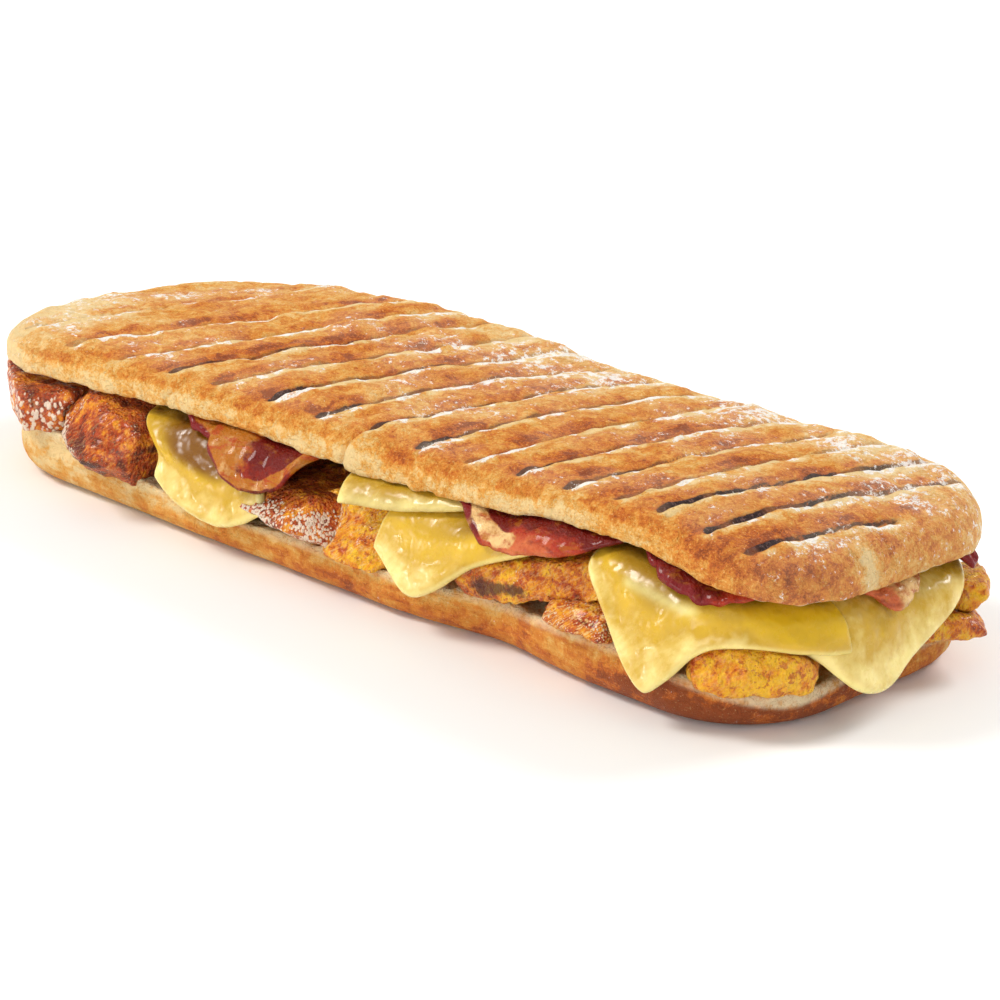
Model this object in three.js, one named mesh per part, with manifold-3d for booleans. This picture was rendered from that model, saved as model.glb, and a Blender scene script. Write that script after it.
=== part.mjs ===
// A pressed panini: two halves of a long flat roll with grilled chicken, melted cheese slices and bacon.
// Millimetres, +Z up, +X along the roll, -Y towards the side where most of the filling shows.
import * as THREE from "three";
import { mergeVertices } from "three/addons/utils/BufferGeometryUtils.js";
import Module from "manifold-3d";

// Roll
const TOP_LENGTH = 245;
const TOP_SHIFT = -1.4;
const TOP_WIDTH = 85;
const BOTTOM_LENGTH = 233;
const BOTTOM_SHIFT = -1.4;
const BOTTOM_WIDTH = 87;
const CORNER_RADIUS = 27;
const ROUND_STEPS = 60;
const BASE_INSET = 7;
const CROWN_DOME = 1.2;
// Where the nearest corner stands out, and by how much
const CORNER_PUSH = 2.6;
const CORNER_AT = [110, -34];
const SHOULDER_INSET = 8;
const RIM_SIDE = 2.6;
// Heights along the roll: [x, height] of the crown, of the upper half's rim at the front and at the back,
// and of the lower half's rim at the front
const CROWN = [[-124, 31.6], [-105, 33.6], [-70, 36.4], [-30, 39], [10, 40.6], [60, 43.2], [86, 44.8],
  [121, 42]];
const RIM_FRONT = [[-124, 23.2], [-85, 26.2], [-54, 29.4], [16, 30.8], [45, 33], [68, 36], [84, 35.6],
  [121, 30.4]];
const RIM_BACK = [[-124, 22.8], [-60, 25.6], [0, 27.2], [60, 28.8], [121, 28]];
// How much lower the crown is at the back
const CROWN_FALL = [[-124, 5.4], [-100, 4], [-78, 0.6], [-46, -0.9], [-18, 0.2], [15, 2.4], [121, 2.6]];
const LOWER_RIM = [[-120, 12], [-90, 13.4], [-57, 9.4], [20, 10], [50, 11], [82, 13.2], [104, 9], [120, 8.6]];
// Where the lower half's front edge draws in, and by how much
const PINCH_AT = 44;
const PINCH_WIDTH = 17;
const PINCH_DEPTH = 3.6;

// Grill marks
const MARK_COUNT = 16;
// Where marks lie along the middle of the crown: [number, x]
const MARK_AT = [[0, -97.7], [1, -74], [3, -43.8], [6, -3.4], [9, 38.4], [12, 78.5], [15, 114]];
// How much a mark slants towards +X on its way to the back: [number, slant]
const MARK_SLANT = [[0, 0.38], [1, 0.48], [3, 0.42], [6, 0.28], [9, 0.22], [12, 0.18], [15, 0.18]];
const MARK_WIDTH = 1.9;
const MARK_DEPTH = 1.1;
// Where the sections of a mark lie along it, from its front end to its back end
const MARK_SHARES = [0, 0.05, 0.16, 0.5, 0.84, 0.96, 1];
// How far a mark's cutter stands over the crown
const MARK_CLEAR = 1.5;

// Filling
const GAP = 0.42;
const WALL_LENGTH = 236;
const WALL_WIDTH = 86;
const CHEESE_THICKNESS = 2.3;
const BACON_THICKNESS = 1.9;
const FILLING_DROP = 5.6;
const DRAPE_INSET = 7;
const DRAPE_BEND = 10;
const DRAPE_ANGLE = THREE.MathUtils.degToRad(76);
const DRAPE_STEPS = 10;
const SQUEEZE_LEFT = 0.02;
const CUT_STEPS = [3, 4, 2];
const CUT_TOLERANCE = 0.05;
const SLICE_FLAT = 0.22;
const SLICE_FIRST = -6;

const wasm = await Module();
wasm.setup();

// Repeatable random numbers and soft bumps

function hash(i, j, k, seed) {
  let h = Math.imul(i, 374761393) ^ Math.imul(j, 668265263);
  h = h ^ Math.imul(k, 2147483647) ^ Math.imul(seed, 1274126177);
  h = Math.imul(h ^ (h >>> 13), 1103515245);
  return ((h ^ (h >>> 16)) >>> 0) / 4294967295;
}

function bumps(x, y, z, seed) {
  const base = [x, y, z].map(Math.floor);
  const part = [x, y, z].map((v, n) => THREE.MathUtils.smoothstep(v - base[n], 0, 1));
  let sum = 0;
  for (let corner = 0; corner < 8; corner++) {
    const step = [corner & 1, (corner >> 1) & 1, corner >> 2];
    const weight = step.reduce((w, s, n) => w * (s ? part[n] : 1 - part[n]), 1);
    sum += weight * hash(base[0] + step[0], base[1] + step[1], base[2] + step[2], seed);
  }
  return 2 * sum - 1;
}

// A smooth height through [x, height] pairs
function heightAt(pairs, x) {
  const last = pairs.length - 1;
  const c = THREE.MathUtils.clamp(x, pairs[0][0], pairs[last][0]);
  const i = Math.min(last - 1, pairs.findLastIndex((p) => p[0] <= c));
  const slope = (n) => {
    const [a, b] = [pairs[Math.max(0, n - 1)], pairs[Math.min(last, n + 1)]];
    return (b[1] - a[1]) / (b[0] - a[0]);
  };
  const [p, q] = [pairs[i], pairs[i + 1]];
  const span = q[0] - p[0];
  const t = (c - p[0]) / span;
  const ease = t * t * (3 - 2 * t);
  return p[1] + (q[1] - p[1]) * ease + span * t * (1 - t) * ((1 - t) * slope(i) - t * slope(i + 1));
}

// The point at a run u along a rounded rectangle: u is 0 at the middle of the front and grows towards +X
function edge(u, length, width) {
  const [cx, cy] = [length / 2 - CORNER_RADIUS, width / 2 - CORNER_RADIUS];
  const arc = (CORNER_RADIUS * Math.PI) / 2;
  const legs = [[cx, 0, -cy, 0], [arc, cx, -cy, 1], [2 * cy, cx, -cy, 0], [arc, cx, cy, 1],
    [2 * cx, cx, cy, 0], [arc, -cx, cy, 1], [2 * cy, -cx, cy, 0], [arc, -cx, -cy, 1], [cx, -cx, -cy, 0]];
  const around = legs.reduce((sum, leg) => sum + leg[0], 0);
  let left = ((u % around) + around) % around;
  let turn = -Math.PI / 2;
  for (const [run, x, y, curved] of legs) {
    const part = Math.min(left, run);
    const angle = turn + (curved ? part / CORNER_RADIUS : 0);
    if (left <= run) {
      const ahead = curved ? 0 : part;
      const nx = Math.cos(angle);
      const ny = Math.sin(angle);
      return { x: x + nx * CORNER_RADIUS - ny * ahead, y: y + ny * CORNER_RADIUS + nx * ahead, nx, ny };
    }
    left -= run;
    turn = angle;
  }
  return edge(0, length, width);
}

function runAround(length, width) {
  const [cx, cy] = [length / 2 - CORNER_RADIUS, width / 2 - CORNER_RADIUS];
  return 4 * (cx + cy) + 2 * Math.PI * CORNER_RADIUS;
}

// Closed solids

function solidFrom(points, triangles) {
  const geometry = new THREE.BufferGeometry();
  geometry.setAttribute("position", new THREE.Float32BufferAttribute(points.flatMap((p) => p.toArray()), 3));
  geometry.setIndex(triangles);
  return toSolid(geometry);
}

function toSolid(geometry) {
  const bare = new THREE.BufferGeometry();
  bare.setAttribute("position", geometry.getAttribute("position"));
  bare.setIndex(geometry.index);
  const merged = mergeVertices(bare, 1e-4);
  const triVerts = new Uint32Array(merged.index.array);
  const mesh = { numProp: 3, vertProperties: merged.attributes.position.array, triVerts };
  return new wasm.Manifold(new wasm.Mesh(mesh));
}

function toGeometry(solid) {
  const mesh = solid.getMesh();
  const geometry = new THREE.BufferGeometry();
  geometry.setAttribute("position", new THREE.BufferAttribute(mesh.vertProperties, 3));
  geometry.setIndex(new THREE.BufferAttribute(mesh.triVerts, 1));
  geometry.computeVertexNormals();
  return geometry;
}

// The largest piece of a solid that a cut may have split
function largest(solid) {
  return solid.decompose().reduce((a, b) => (a.volume() > b.volume() ? a : b));
}

// A solid through closed loops of the same number of points, first loop lowest, seen from above anticlockwise
function stacked(loops) {
  const n = loops[0].length;
  const points = loops.flat();
  const triangles = [];
  for (let i = 0; i + 1 < loops.length; i++) {
    for (let j = 0; j < n; j++) {
      const [a, b] = [i * n + j, i * n + ((j + 1) % n)];
      triangles.push(a, b, b + n, a, b + n, a + n);
    }
  }
  const top = (loops.length - 1) * n;
  for (let j = 0; j < n / 2; j++) {
    const [a, b, c, d] = [j, j + 1, (n - j - 1) % n, (n - j) % n];
    if (j > 0) {
      triangles.push(a, c, b, a, d, c);
      triangles.push(top + a, top + b, top + c, top + a, top + c, top + d);
    } else {
      triangles.push(a, c, b);
      triangles.push(top + a, top + b, top + c);
    }
  }
  return solidFrom(points, triangles.filter((_, t, all) => {
    const s = t - (t % 3);
    return all[s] !== all[s + 1] && all[s + 1] !== all[s + 2] && all[s] !== all[s + 2];
  }));
}

// A loop of a half at a distance inside its outline; height(x, y) gives its height
function rollLoop({ length, width, shift, draw }, inset, height) {
  const start = -runAround(length, width) / 4 - width / 4;
  const loop = [];
  for (let j = 0; j < ROUND_STEPS; j++) {
    const u = start + (runAround(length, width) * j) / ROUND_STEPS;
    const at = insetPoint(u, length, width, Math.min(inset, width / 2 - 2.5));
    const x = at.x + shift - at.nx * draw(at.x, at.y);
    const y = at.y - at.ny * draw(at.x, at.y);
    loop.push(new THREE.Vector3(x, y, height(x, y)));
  }
  return loop;
}

// A point of the outline drawn in: round corners keep their centres until the radius runs out
function insetPoint(u, length, width, inset) {
  const at = edge(u, length, width);
  const within = Math.max(CORNER_RADIUS - inset, 0.6);
  const [cx, cy] = [length / 2 - CORNER_RADIUS, width / 2 - CORNER_RADIUS];
  const past = Math.max(0, inset - CORNER_RADIUS + 0.6);
  const x = THREE.MathUtils.clamp(at.x - at.nx * CORNER_RADIUS, -cx, cx);
  const y = THREE.MathUtils.clamp(at.y - at.ny * CORNER_RADIUS, -cy, cy);
  const squeeze = (v, c) => v * (1 - past / Math.max(c, past + 0.01));
  return { x: squeeze(x, cx) + at.nx * within, y: squeeze(y, cy) + at.ny * within, nx: at.nx, ny: at.ny };
}

// Bread

function upperRim(x, y) {
  const front = THREE.MathUtils.smoothstep(-y, -TOP_WIDTH / 2, TOP_WIDTH / 2);
  return THREE.MathUtils.lerp(heightAt(RIM_BACK, x), heightAt(RIM_FRONT, x), front);
}

function lowerRim(x, y) {
  return heightAt(LOWER_RIM, x) + 0.7 * bumps(x / 17, y / 17, 0, 11);
}

function crown(x, y, inset) {
  const side = upperRim(x, y) + RIM_SIDE;
  const fall = heightAt(CROWN_FALL, x) * THREE.MathUtils.smoothstep(y, -TOP_WIDTH / 2, TOP_WIDTH / 2);
  const dome = CROWN_DOME * (2 * y / TOP_WIDTH) ** 2;
  const top = heightAt(CROWN, x) - dome - fall + 0.5 * bumps(x / 24, y / 20, 3, 5);
  const rise = Math.sqrt(1 - (1 - Math.min(1, inset / SHOULDER_INSET)) ** 2);
  return side + (top - side) * (0.93 * rise + 0.07 * Math.min(1, inset / (2 * SHOULDER_INSET)));
}

function upperHalf() {
  const loops = [];
  const under = (rise) => (x, y) => upperRim(x, y) + rise;
  const away = (x, y) => Math.hypot(x - CORNER_AT[0], y - CORNER_AT[1]) / CORNER_RADIUS;
  const draw = (x, y) => -CORNER_PUSH * Math.exp(-((2 * away(x, y)) ** 2));
  const half = { length: TOP_LENGTH, width: TOP_WIDTH, shift: TOP_SHIFT, draw };
  for (const [inset, rise] of [[40, 1.2], [3, 1], [0.7, 0], [0, 0.9]]) {
    loops.push(rollLoop(half, inset, under(rise)));
  }
  for (const inset of [0, 0.7, 2.2, 4.6, 8.5, 20, 40]) {
    loops.push(rollLoop(half, inset, (x, y) => crown(x, y, inset)));
  }
  return stacked(loops);
}

function lowerHalf() {
  const draw = (x, y) => (y < 0 ? PINCH_DEPTH * Math.exp(-(((x - PINCH_AT) / PINCH_WIDTH) ** 2)) : 0);
  const half = { length: BOTTOM_LENGTH, width: BOTTOM_WIDTH, shift: BOTTOM_SHIFT, draw };
  const loops = [];
  const add = (inset, height) => loops.push(rollLoop(half, inset, height));
  add(40, () => 0);
  add(BASE_INSET, () => 0);
  for (const [inset, share] of [[2.1, 0.14], [0.2, 0.5], [0.2, 0.84]]) {
    add(inset, (x, y) => share * lowerRim(x, y));
  }
  for (const [inset, drop] of [[1.5, 0], [6, 0.7], [40, 1.1]]) {
    add(inset, (x, y) => lowerRim(x, y) - drop);
  }
  return stacked(loops);
}

// A cutter for one grill mark: a long wedge that follows the crown and runs out at both ends
function markCutter(index) {
  const x0 = heightAt(MARK_AT, index);
  const slant = heightAt(MARK_SLANT, index);
  const reach = TOP_WIDTH / 2 - 4;
  const room = TOP_LENGTH / 2 - 8;
  const low = Math.max(1.5 - reach - 1.5 * hash(index, 1, 0, 3), (-room - x0) / slant);
  const high = Math.min(reach - 5 * hash(index, 2, 0, 3), (room - x0) / slant);
  const sections = [];
  for (const t of MARK_SHARES) {
    const y = THREE.MathUtils.lerp(low, high, t);
    const x = x0 + slant * y + 0.5 * bumps(index * 3, y / 14, 0, 8);
    const inset = Math.min(TOP_WIDTH / 2 - Math.abs(y), TOP_LENGTH / 2 - Math.abs(x));
    const taper = Math.min(1, 0.45 + 5 * t * (1 - t)) * (1 + 0.25 * bumps(index, y / 9, 1, 8));
    const z = crown(x, y, inset);
    const half = ((MARK_WIDTH / 2) * taper * (MARK_DEPTH + MARK_CLEAR)) / MARK_DEPTH;
    const deep = t * (1 - t) === 0 ? -0.2 : MARK_DEPTH * taper;
    const section = [[x - half, z + MARK_CLEAR], [x + half, z + MARK_CLEAR], [x, z - deep]];
    sections.push(section.map(([px, pz]) => new THREE.Vector3(px, y, pz)));
  }
  return prism(sections);
}

// A solid through equal sections, closed at both ends
function prism(sections) {
  const n = sections[0].length;
  const triangles = [];
  for (let i = 0; i + 1 < sections.length; i++) {
    for (let j = 0; j < n; j++) {
      const [a, b] = [i * n + j, i * n + ((j + 1) % n)];
      triangles.push(a, b + n, b, a, a + n, b + n);
    }
  }
  const end = (sections.length - 1) * n;
  for (let j = 1; j + 1 < n; j++) {
    triangles.push(0, j, j + 1, end, end + j + 1, end + j);
  }
  const solid = solidFrom(sections.flat(), triangles);
  return solid.volume() > 0 ? solid : solidFrom(sections.flat(), triangles.reverse());
}

// Filling

const wallRun = runAround(WALL_LENGTH, WALL_WIDTH);
const backRun = (x) => wallRun / 2 - x;

// A point of the soft curve that a slice takes over the filling's side: along is the run past its upper start,
// level the distance from the curve
function drapePoint(u, along, level) {
  const past = Math.max(along, 0);
  let out = -DRAPE_INSET + Math.min(along, 0);
  let fall = 0;
  for (let i = 0; i < DRAPE_STEPS; i++) {
    const bend = DRAPE_ANGLE * THREE.MathUtils.smoothstep(((i + 0.5) / DRAPE_STEPS) * past, 0, DRAPE_BEND);
    out += (Math.cos(bend) * past) / DRAPE_STEPS;
    fall += (Math.sin(bend) * past) / DRAPE_STEPS;
  }
  const angle = DRAPE_ANGLE * THREE.MathUtils.smoothstep(past, 0, DRAPE_BEND);
  out += Math.sin(angle) * level;
  const at = insetPoint(u, WALL_LENGTH, WALL_WIDTH, -out);
  return new THREE.Vector3(at.x, at.y, upperRim(at.x, at.y) - FILLING_DROP - fall + Math.cos(angle) * level);
}

// A closed sheet: at(s, t, side) gives its lower (-1) and upper (1) face over a grid
function sheet(columns, shares, at) {
  const rows = shares.length;
  const points = [];
  for (const side of [-1, 1]) {
    for (let i = 0; i <= columns; i++) {
      for (const t of shares) {
        points.push(at(i / columns, t, side));
      }
    }
  }
  const layer = (columns + 1) * rows;
  const id = (i, j, side) => (side > 0 ? layer : 0) + i * rows + j;
  const triangles = [];
  const quad = (a, b, c, d) => triangles.push(a, b, c, a, c, d);
  for (let i = 0; i < columns; i++) {
    for (let j = 0; j + 1 < rows; j++) {
      quad(id(i, j, 1), id(i + 1, j, 1), id(i + 1, j + 1, 1), id(i, j + 1, 1));
      quad(id(i, j, -1), id(i, j + 1, -1), id(i + 1, j + 1, -1), id(i + 1, j, -1));
    }
    quad(id(i, 0, -1), id(i + 1, 0, -1), id(i + 1, 0, 1), id(i, 0, 1));
    quad(id(i, rows - 1, 1), id(i + 1, rows - 1, 1), id(i + 1, rows - 1, -1), id(i, rows - 1, -1));
  }
  for (let j = 0; j + 1 < rows; j++) {
    quad(id(0, j, 1), id(0, j + 1, 1), id(0, j + 1, -1), id(0, j, -1));
    quad(id(columns, j, -1), id(columns, j + 1, -1), id(columns, j + 1, 1), id(columns, j, 1));
  }
  const solid = solidFrom(points, triangles);
  return solid.volume() > 0 ? solid : solidFrom(points, triangles.reverse());
}

// A cheese slice across the roll. front and back are [first, last] runs along the wall, and inner takes the place
// of back where the slice ends inside; hang gives how far the slice reaches past its upper bend at a share of its
// breadth, slant how far its hanging end leans along the wall, tuck how far its first edge goes under the slice
// beside it, and tip is a melted edge's extra thickness
function cheeseSlice(spec, grow = 0) {
  const { front, back, inner, frontHang, backHang, seed } = spec;
  const { level = 0.3, tuck = 0, slant = 0, tip = 0, columns = 11 } = spec;
  const shares = [...(inner ? [-1, -0.5] : [-1, -0.9, -0.62, -0.22]), 0.22, 0.44, 0.64, 0.82, 0.94, 1];
  return sheet(columns, shares, (s, t, side) => {
    const thin = Math.max(THREE.MathUtils.smoothstep(Math.abs(t), 0.93, 1),
      THREE.MathUtils.smoothstep(Math.abs(2 * s - 1), 0.8, 1));
    const melt = tip * THREE.MathUtils.smoothstep(t, 0.5, 0.85) * Math.sin(Math.PI * s);
    const half = (CHEESE_THICKNESS * (1 - 0.5 * thin) + melt) / 2 + grow;
    const under = tuck * (1 - THREE.MathUtils.smoothstep(s, 0.1, 0.3));
    const middle = level - under + CHEESE_THICKNESS / 2 - 0.35 * melt + 0.2 * bumps(s * 4, t * 4, seed, 21);
    const lift = middle + side * half;
    const share = (Math.abs(t) - SLICE_FLAT) / (1 - SLICE_FLAT);
    const along = (hang) => SLICE_FIRST + (heightAt(hang, s) + grow - SLICE_FIRST) * share;
    if (t > 0) {
      const u = THREE.MathUtils.lerp(front[0] - grow, front[1] + grow, s) + slant * share;
      return drapePoint(u, along(frontHang), lift);
    }
    if (inner) {
      const from = drapePoint(THREE.MathUtils.lerp(front[0] - grow, front[1] + grow, s), SLICE_FIRST, lift);
      const end = new THREE.Vector2(...inner[0]).lerp(new THREE.Vector2(...inner[1]), s);
      const deep = new THREE.Vector3(end.x, end.y, upperRim(end.x, end.y) - FILLING_DROP + lift);
      return from.lerp(deep, -t);
    }
    return drapePoint(THREE.MathUtils.lerp(back[0] + grow, back[1] - grow, s), along(backHang), lift);
  });
}

// A rasher along the wall from one run to another, waved and curled over the edge
function rasher({ from, to, inside, hang, level, waves, seed }, grow = 0) {
  const shares = [0, 0.3, 0.55, 0.75, 0.92, 1];
  const columns = Math.max(7, Math.round(Math.abs(to - from) / 4.6));
  return sheet(columns, shares, (s, t, side) => {
    const u = THREE.MathUtils.lerp(from - grow, to + grow, s);
    const narrow = 0.55 + 0.45 * Math.sqrt(Math.sin(Math.PI * THREE.MathUtils.clamp(s, 0.02, 0.98)));
    const past = heightAt(hang, s) * narrow + grow;
    const along = -inside + (inside + past) * t + 0.8 * bumps(s * 5, t * 2, 0, seed);
    const wave = 0.5 * (1 + Math.sin(waves * s * 2 * Math.PI + seed)) * THREE.MathUtils.smoothstep(t, 0.3, 1);
    const out = level + BACON_THICKNESS / 2 + 1.5 * wave + side * (BACON_THICKNESS / 2 + grow);
    return drapePoint(u, along, out);
  });
}

// A cut of chicken: a box with uneven corners, rounded edges and a rough skin, pressed flat between the lower
// half and the layers over it; over is how far it may rise above the slices' lower side
function chickenCut({ at, size, turn = 0, roll = 0, round = 0.42, over = 0, seed }, grow = 0) {
  const box = new THREE.BoxGeometry(2, 2, 2, ...CUT_STEPS);
  const position = box.getAttribute("position");
  const point = new THREE.Vector3();
  const turned = new THREE.Matrix4().makeRotationFromEuler(new THREE.Euler(0, roll, turn, "ZYX"));
  turned.setPosition(...at);
  for (let i = 0; i < position.count; i++) {
    point.fromBufferAttribute(position, i);
    const ball = point.clone().normalize().multiplyScalar(1.22);
    const place = point.toArray().map((v) => v * 0.9 + 5);
    const uneven = [0, 1, 2].map((n) => 0.16 * bumps(...place, seed * 7 + n));
    point.lerp(ball, round);
    point.set(point.x + uneven[0], point.y + uneven[1], point.z + uneven[2]);
    const rough = 1 + 0.07 * bumps(point.x * 3.1, point.y * 2.3, point.z * 2, seed);
    point.multiply(new THREE.Vector3(...size).multiplyScalar(rough / 2).addScalar(grow)).applyMatrix4(turned);
    const ceiling = upperRim(point.x, point.y) - FILLING_DROP + over + grow;
    const floor = lowerRim(point.x, point.y) + GAP - grow;
    const squeezed = THREE.MathUtils.clamp(point.z, floor, ceiling);
    position.setXYZ(i, point.x, point.y, squeezed + SQUEEZE_LEFT * (point.z - squeezed));
  }
  return toSolid(box);
}

const FRONT_SLICES = {
  cheese_left: {
    front: [-68, -31], slant: 10, back: [backRun(-68), backRun(-26)], seed: 1, tip: 2.2,
    frontHang: [[0, 15.5], [0.2, 19.5], [0.55, 22], [0.8, 19.5], [1, 15]],
    backHang: [[0, 8], [0.4, 16], [1, 9]],
  },
  cheese_flap: {
    front: [15, 76], slant: -5, back: [backRun(20), backRun(70)], seed: 2, tip: 0.6, columns: 13,
    frontHang: [[0, 14], [0.23, 22], [0.5, 12], [0.8, 6], [1, 2]], backHang: [[0, 6], [0.6, 13], [1, 17]],
  },
  cheese_fold: {
    front: [0, 35], back: [backRun(-9), backRun(5)], seed: 3, tip: 1.2, level: 3.4,
    frontHang: [[0, 7.5], [0.5, 6], [1, 3.5]], backHang: [[0, 12], [0.5, 7], [1, 9]],
  },
  cheese_right: {
    front: [70, 130], back: [backRun(64), backRun(101)], seed: 4, tip: 1.4, columns: 15,
    frontHang: [[0, 7], [0.11, 15], [0.22, 23], [0.32, 27], [0.39, 22.5], [0.46, 16], [0.55, 12.3], [0.7, 11],
      [1, 12.5]],
    backHang: [[0, 9], [0.7, 14], [1, 9]],
  },
  cheese_end: {
    front: [117, 180], inner: [[103, -20], [100, 26]], seed: 5, tip: 0.8, tuck: 2.9, columns: 13,
    frontHang: [[0, 9], [0.14, 14], [0.27, 21], [0.4, 22.5], [0.55, 17.5], [0.78, 11.5], [1, 4]],
  },
};

const RASHERS = {
  bacon_front_1: {
    from: -55, to: -9, inside: 12, hang: [[0, 4], [0.3, 6], [0.6, 11.5], [0.85, 10], [1, 4]], waves: 2.2,
  },
  bacon_front_2: { from: 31, to: 76, inside: 12, hang: [[0, 4], [0.3, 8], [0.7, 8], [1, 4]], waves: 1.6 },
  bacon_front_3: { from: 80, to: 121, inside: 12, hang: [[0, 4], [0.3, 6], [0.7, 5], [1, 3]], waves: 2 },
  bacon_end: { from: 136, to: 160, inside: 14, hang: [[0, 3], [0.5, 6], [1, 4]], waves: 1 },
  bacon_corner: { from: 166, to: 192, inside: 10, hang: [[0, 2], [0.4, 4], [1, 2]], waves: 1.2 },
  bacon_back_1: { from: backRun(-12), to: backRun(-60), inside: 12, hang: [[0, 4], [0.5, 8], [1, 5]], waves: 2 },
  bacon_back_2: { from: backRun(58), to: backRun(8), inside: 12, hang: [[0, 4], [0.3, 9], [1, 4]], waves: 2.4 },
  bacon_back_3: { from: backRun(98), to: backRun(68), inside: 12, hang: [[0, 4], [0.5, 7], [1, 4]], waves: 1.4 },
};

const CUTS = {
  chicken_front_1: { at: [-71, -3, 17.5], size: [29, 83, 17], turn: -7, roll: 8, round: 0.3, over: 4.6 },
  chicken_left_corner: { at: [-101, -29.5, 19], size: [34, 26, 13], turn: -40, roll: 3, over: 3.5 },
  chicken_left_end: { at: [-108, 8, 17.5], size: [24, 27, 12], turn: 8, over: 4.6 },
  chicken_left_back: { at: [-98, 29, 18], size: [26, 21, 12], turn: 18, over: 4.6 },
  chicken_behind_cheese: { at: [-44, 2, 16], size: [24, 78, 13], turn: 2 },
  chicken_front_2: { at: [-16, -1, 15], size: [28, 84, 11], turn: 2, roll: 4 },
  chicken_wedge: { at: [6, -2.5, 18], size: [23, 86, 16], turn: -3, roll: 16, round: 0.25 },
  chicken_under_flap: { at: [25, 3, 16.5], size: [16, 76, 12], turn: 0 },
  chicken_strip: { at: [54, -32, 20.5], size: [47, 22, 9], turn: 3, roll: -16, round: 0.3 },
  chicken_front_3: { at: [67, -26, 15], size: [24, 34, 8.5], turn: -4 },
  chicken_back_strip: { at: [55, 23, 17.5], size: [42, 36, 13], turn: -3 },
  chicken_right: { at: [86, -12, 17], size: [13, 50, 13], turn: 3 },
  chicken_right_corner: { at: [102, -27.5, 14.8], size: [27, 25, 13], turn: 45, round: 0.3 },
  chicken_right_back: { at: [90, 27, 17], size: [23, 27, 13], turn: 8 },
  chicken_end: { at: [104, -3, 15], size: [21, 18, 11], turn: 4 },
  chicken_end_top: { at: [106.5, 25, 16.9], size: [26, 15, 6.4], turn: 42, round: 0.3, over: 2 },
  chicken_end_low: { at: [106.6, 16.5, 10.4], size: [24, 34, 8], turn: -20, round: 0.3 },
};

const COLOURS = {
  bun: { color: 0xd59a5a, roughness: 0.85 },
  cheese: { color: 0xe9cd5c, roughness: 0.35 },
  bacon: { color: 0x9c4a3a, roughness: 0.4 },
  chicken: { color: 0xc88140, roughness: 0.55 },
};

const panini = new THREE.Group();

function addPiece(name, solid) {
  const material = new THREE.MeshStandardMaterial({ ...COLOURS[name.split("_")[0]], metalness: 0 });
  const mesh = new THREE.Mesh(toGeometry(solid), material);
  mesh.name = name;
  panini.add(mesh);
}

const placed = [];

function touches(a, b) {
  const [p, q] = [a.boundingBox(), b.boundingBox()];
  return [0, 1, 2].every((n) => p.min[n] < q.max[n] + GAP && q.min[n] < p.max[n] + GAP);
}

// A cut piece without the splinters along its cuts, unless it would then meet one of the others
function smoothed(solid, others) {
  const plain = solid.simplify(CUT_TOLERANCE);
  const free = others.every((other) => plain.intersect(other).volume() < CUT_TOLERANCE ** 3);
  return free && plain.decompose().length === 1 ? plain : solid;
}

// Cuts a piece back from all that is placed already, and keeps room round it for the next
function fit(name, solid, grown) {
  const near = placed.filter(({ room }) => touches(room, solid));
  const rest = near.reduce((left, { piece, room }) => left.subtract(piece).subtract(room), solid);
  const piece = smoothed(largest(rest), near.map((other) => other.piece));
  addPiece(name, piece);
  placed.push({ piece, room: grown });
}

let upper = upperHalf();
for (let index = 0; index < MARK_COUNT; index++) {
  upper = upper.subtract(markCutter(index));
}
const lower = lowerHalf();
addPiece("bun_top", smoothed(largest(upper), []));
addPiece("bun_bottom", lower);
placed.push({ piece: upperHalf(), room: upperHalf().translate(0, 0, -GAP) });
placed.push({ piece: lower, room: lower.translate(0, 0, GAP) });

Object.entries(RASHERS).forEach(([name, spec], n) => {
  const strip = { level: 3.4, seed: n + 1, ...spec };
  fit(name, rasher(strip), rasher(strip, GAP));
});
Object.entries(FRONT_SLICES).forEach(([name, spec]) => fit(name, cheeseSlice(spec), cheeseSlice(spec, GAP)));
Object.entries(CUTS).forEach(([name, spec], n) => {
  const degrees = ["turn", "roll"].map((key) => [key, THREE.MathUtils.degToRad(spec[key] ?? 0)]);
  const cut = { ...spec, ...Object.fromEntries(degrees), seed: n + 1 };
  fit(name, chickenCut(cut), chickenCut(cut, GAP));
});

export default panini;
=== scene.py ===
"""A pressed panini with chicken, melted cheese and bacon, dressed over its CAD solids.

Sizes inside the functions are in millimetres; meshes are written in metres.
"""

import math
from contextlib import contextmanager

import bmesh
import bpy
import numpy as np
from bpy.props import FloatProperty, FloatVectorProperty, IntProperty, PointerProperty
from mathutils import Matrix, Vector


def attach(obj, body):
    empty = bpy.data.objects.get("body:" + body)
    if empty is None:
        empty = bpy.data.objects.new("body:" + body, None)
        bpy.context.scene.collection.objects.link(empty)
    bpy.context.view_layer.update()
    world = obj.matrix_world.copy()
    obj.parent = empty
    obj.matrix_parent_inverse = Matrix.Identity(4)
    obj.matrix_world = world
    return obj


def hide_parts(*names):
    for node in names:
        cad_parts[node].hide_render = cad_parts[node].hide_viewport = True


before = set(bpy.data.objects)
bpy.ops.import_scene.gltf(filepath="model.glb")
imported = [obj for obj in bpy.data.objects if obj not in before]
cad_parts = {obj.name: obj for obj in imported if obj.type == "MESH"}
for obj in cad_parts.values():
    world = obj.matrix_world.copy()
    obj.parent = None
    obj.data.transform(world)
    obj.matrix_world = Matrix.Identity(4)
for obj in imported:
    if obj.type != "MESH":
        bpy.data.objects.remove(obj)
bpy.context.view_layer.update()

bl_info = {
    "name": "Panini",
    "version": (1, 0, 0),
    "blender": (4, 5, 0),
    "location": "View3D > Sidebar > Panini",
    "description": "Models a pressed panini with its filling",
    "category": "Add Mesh",
}

MM = 0.001

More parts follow.
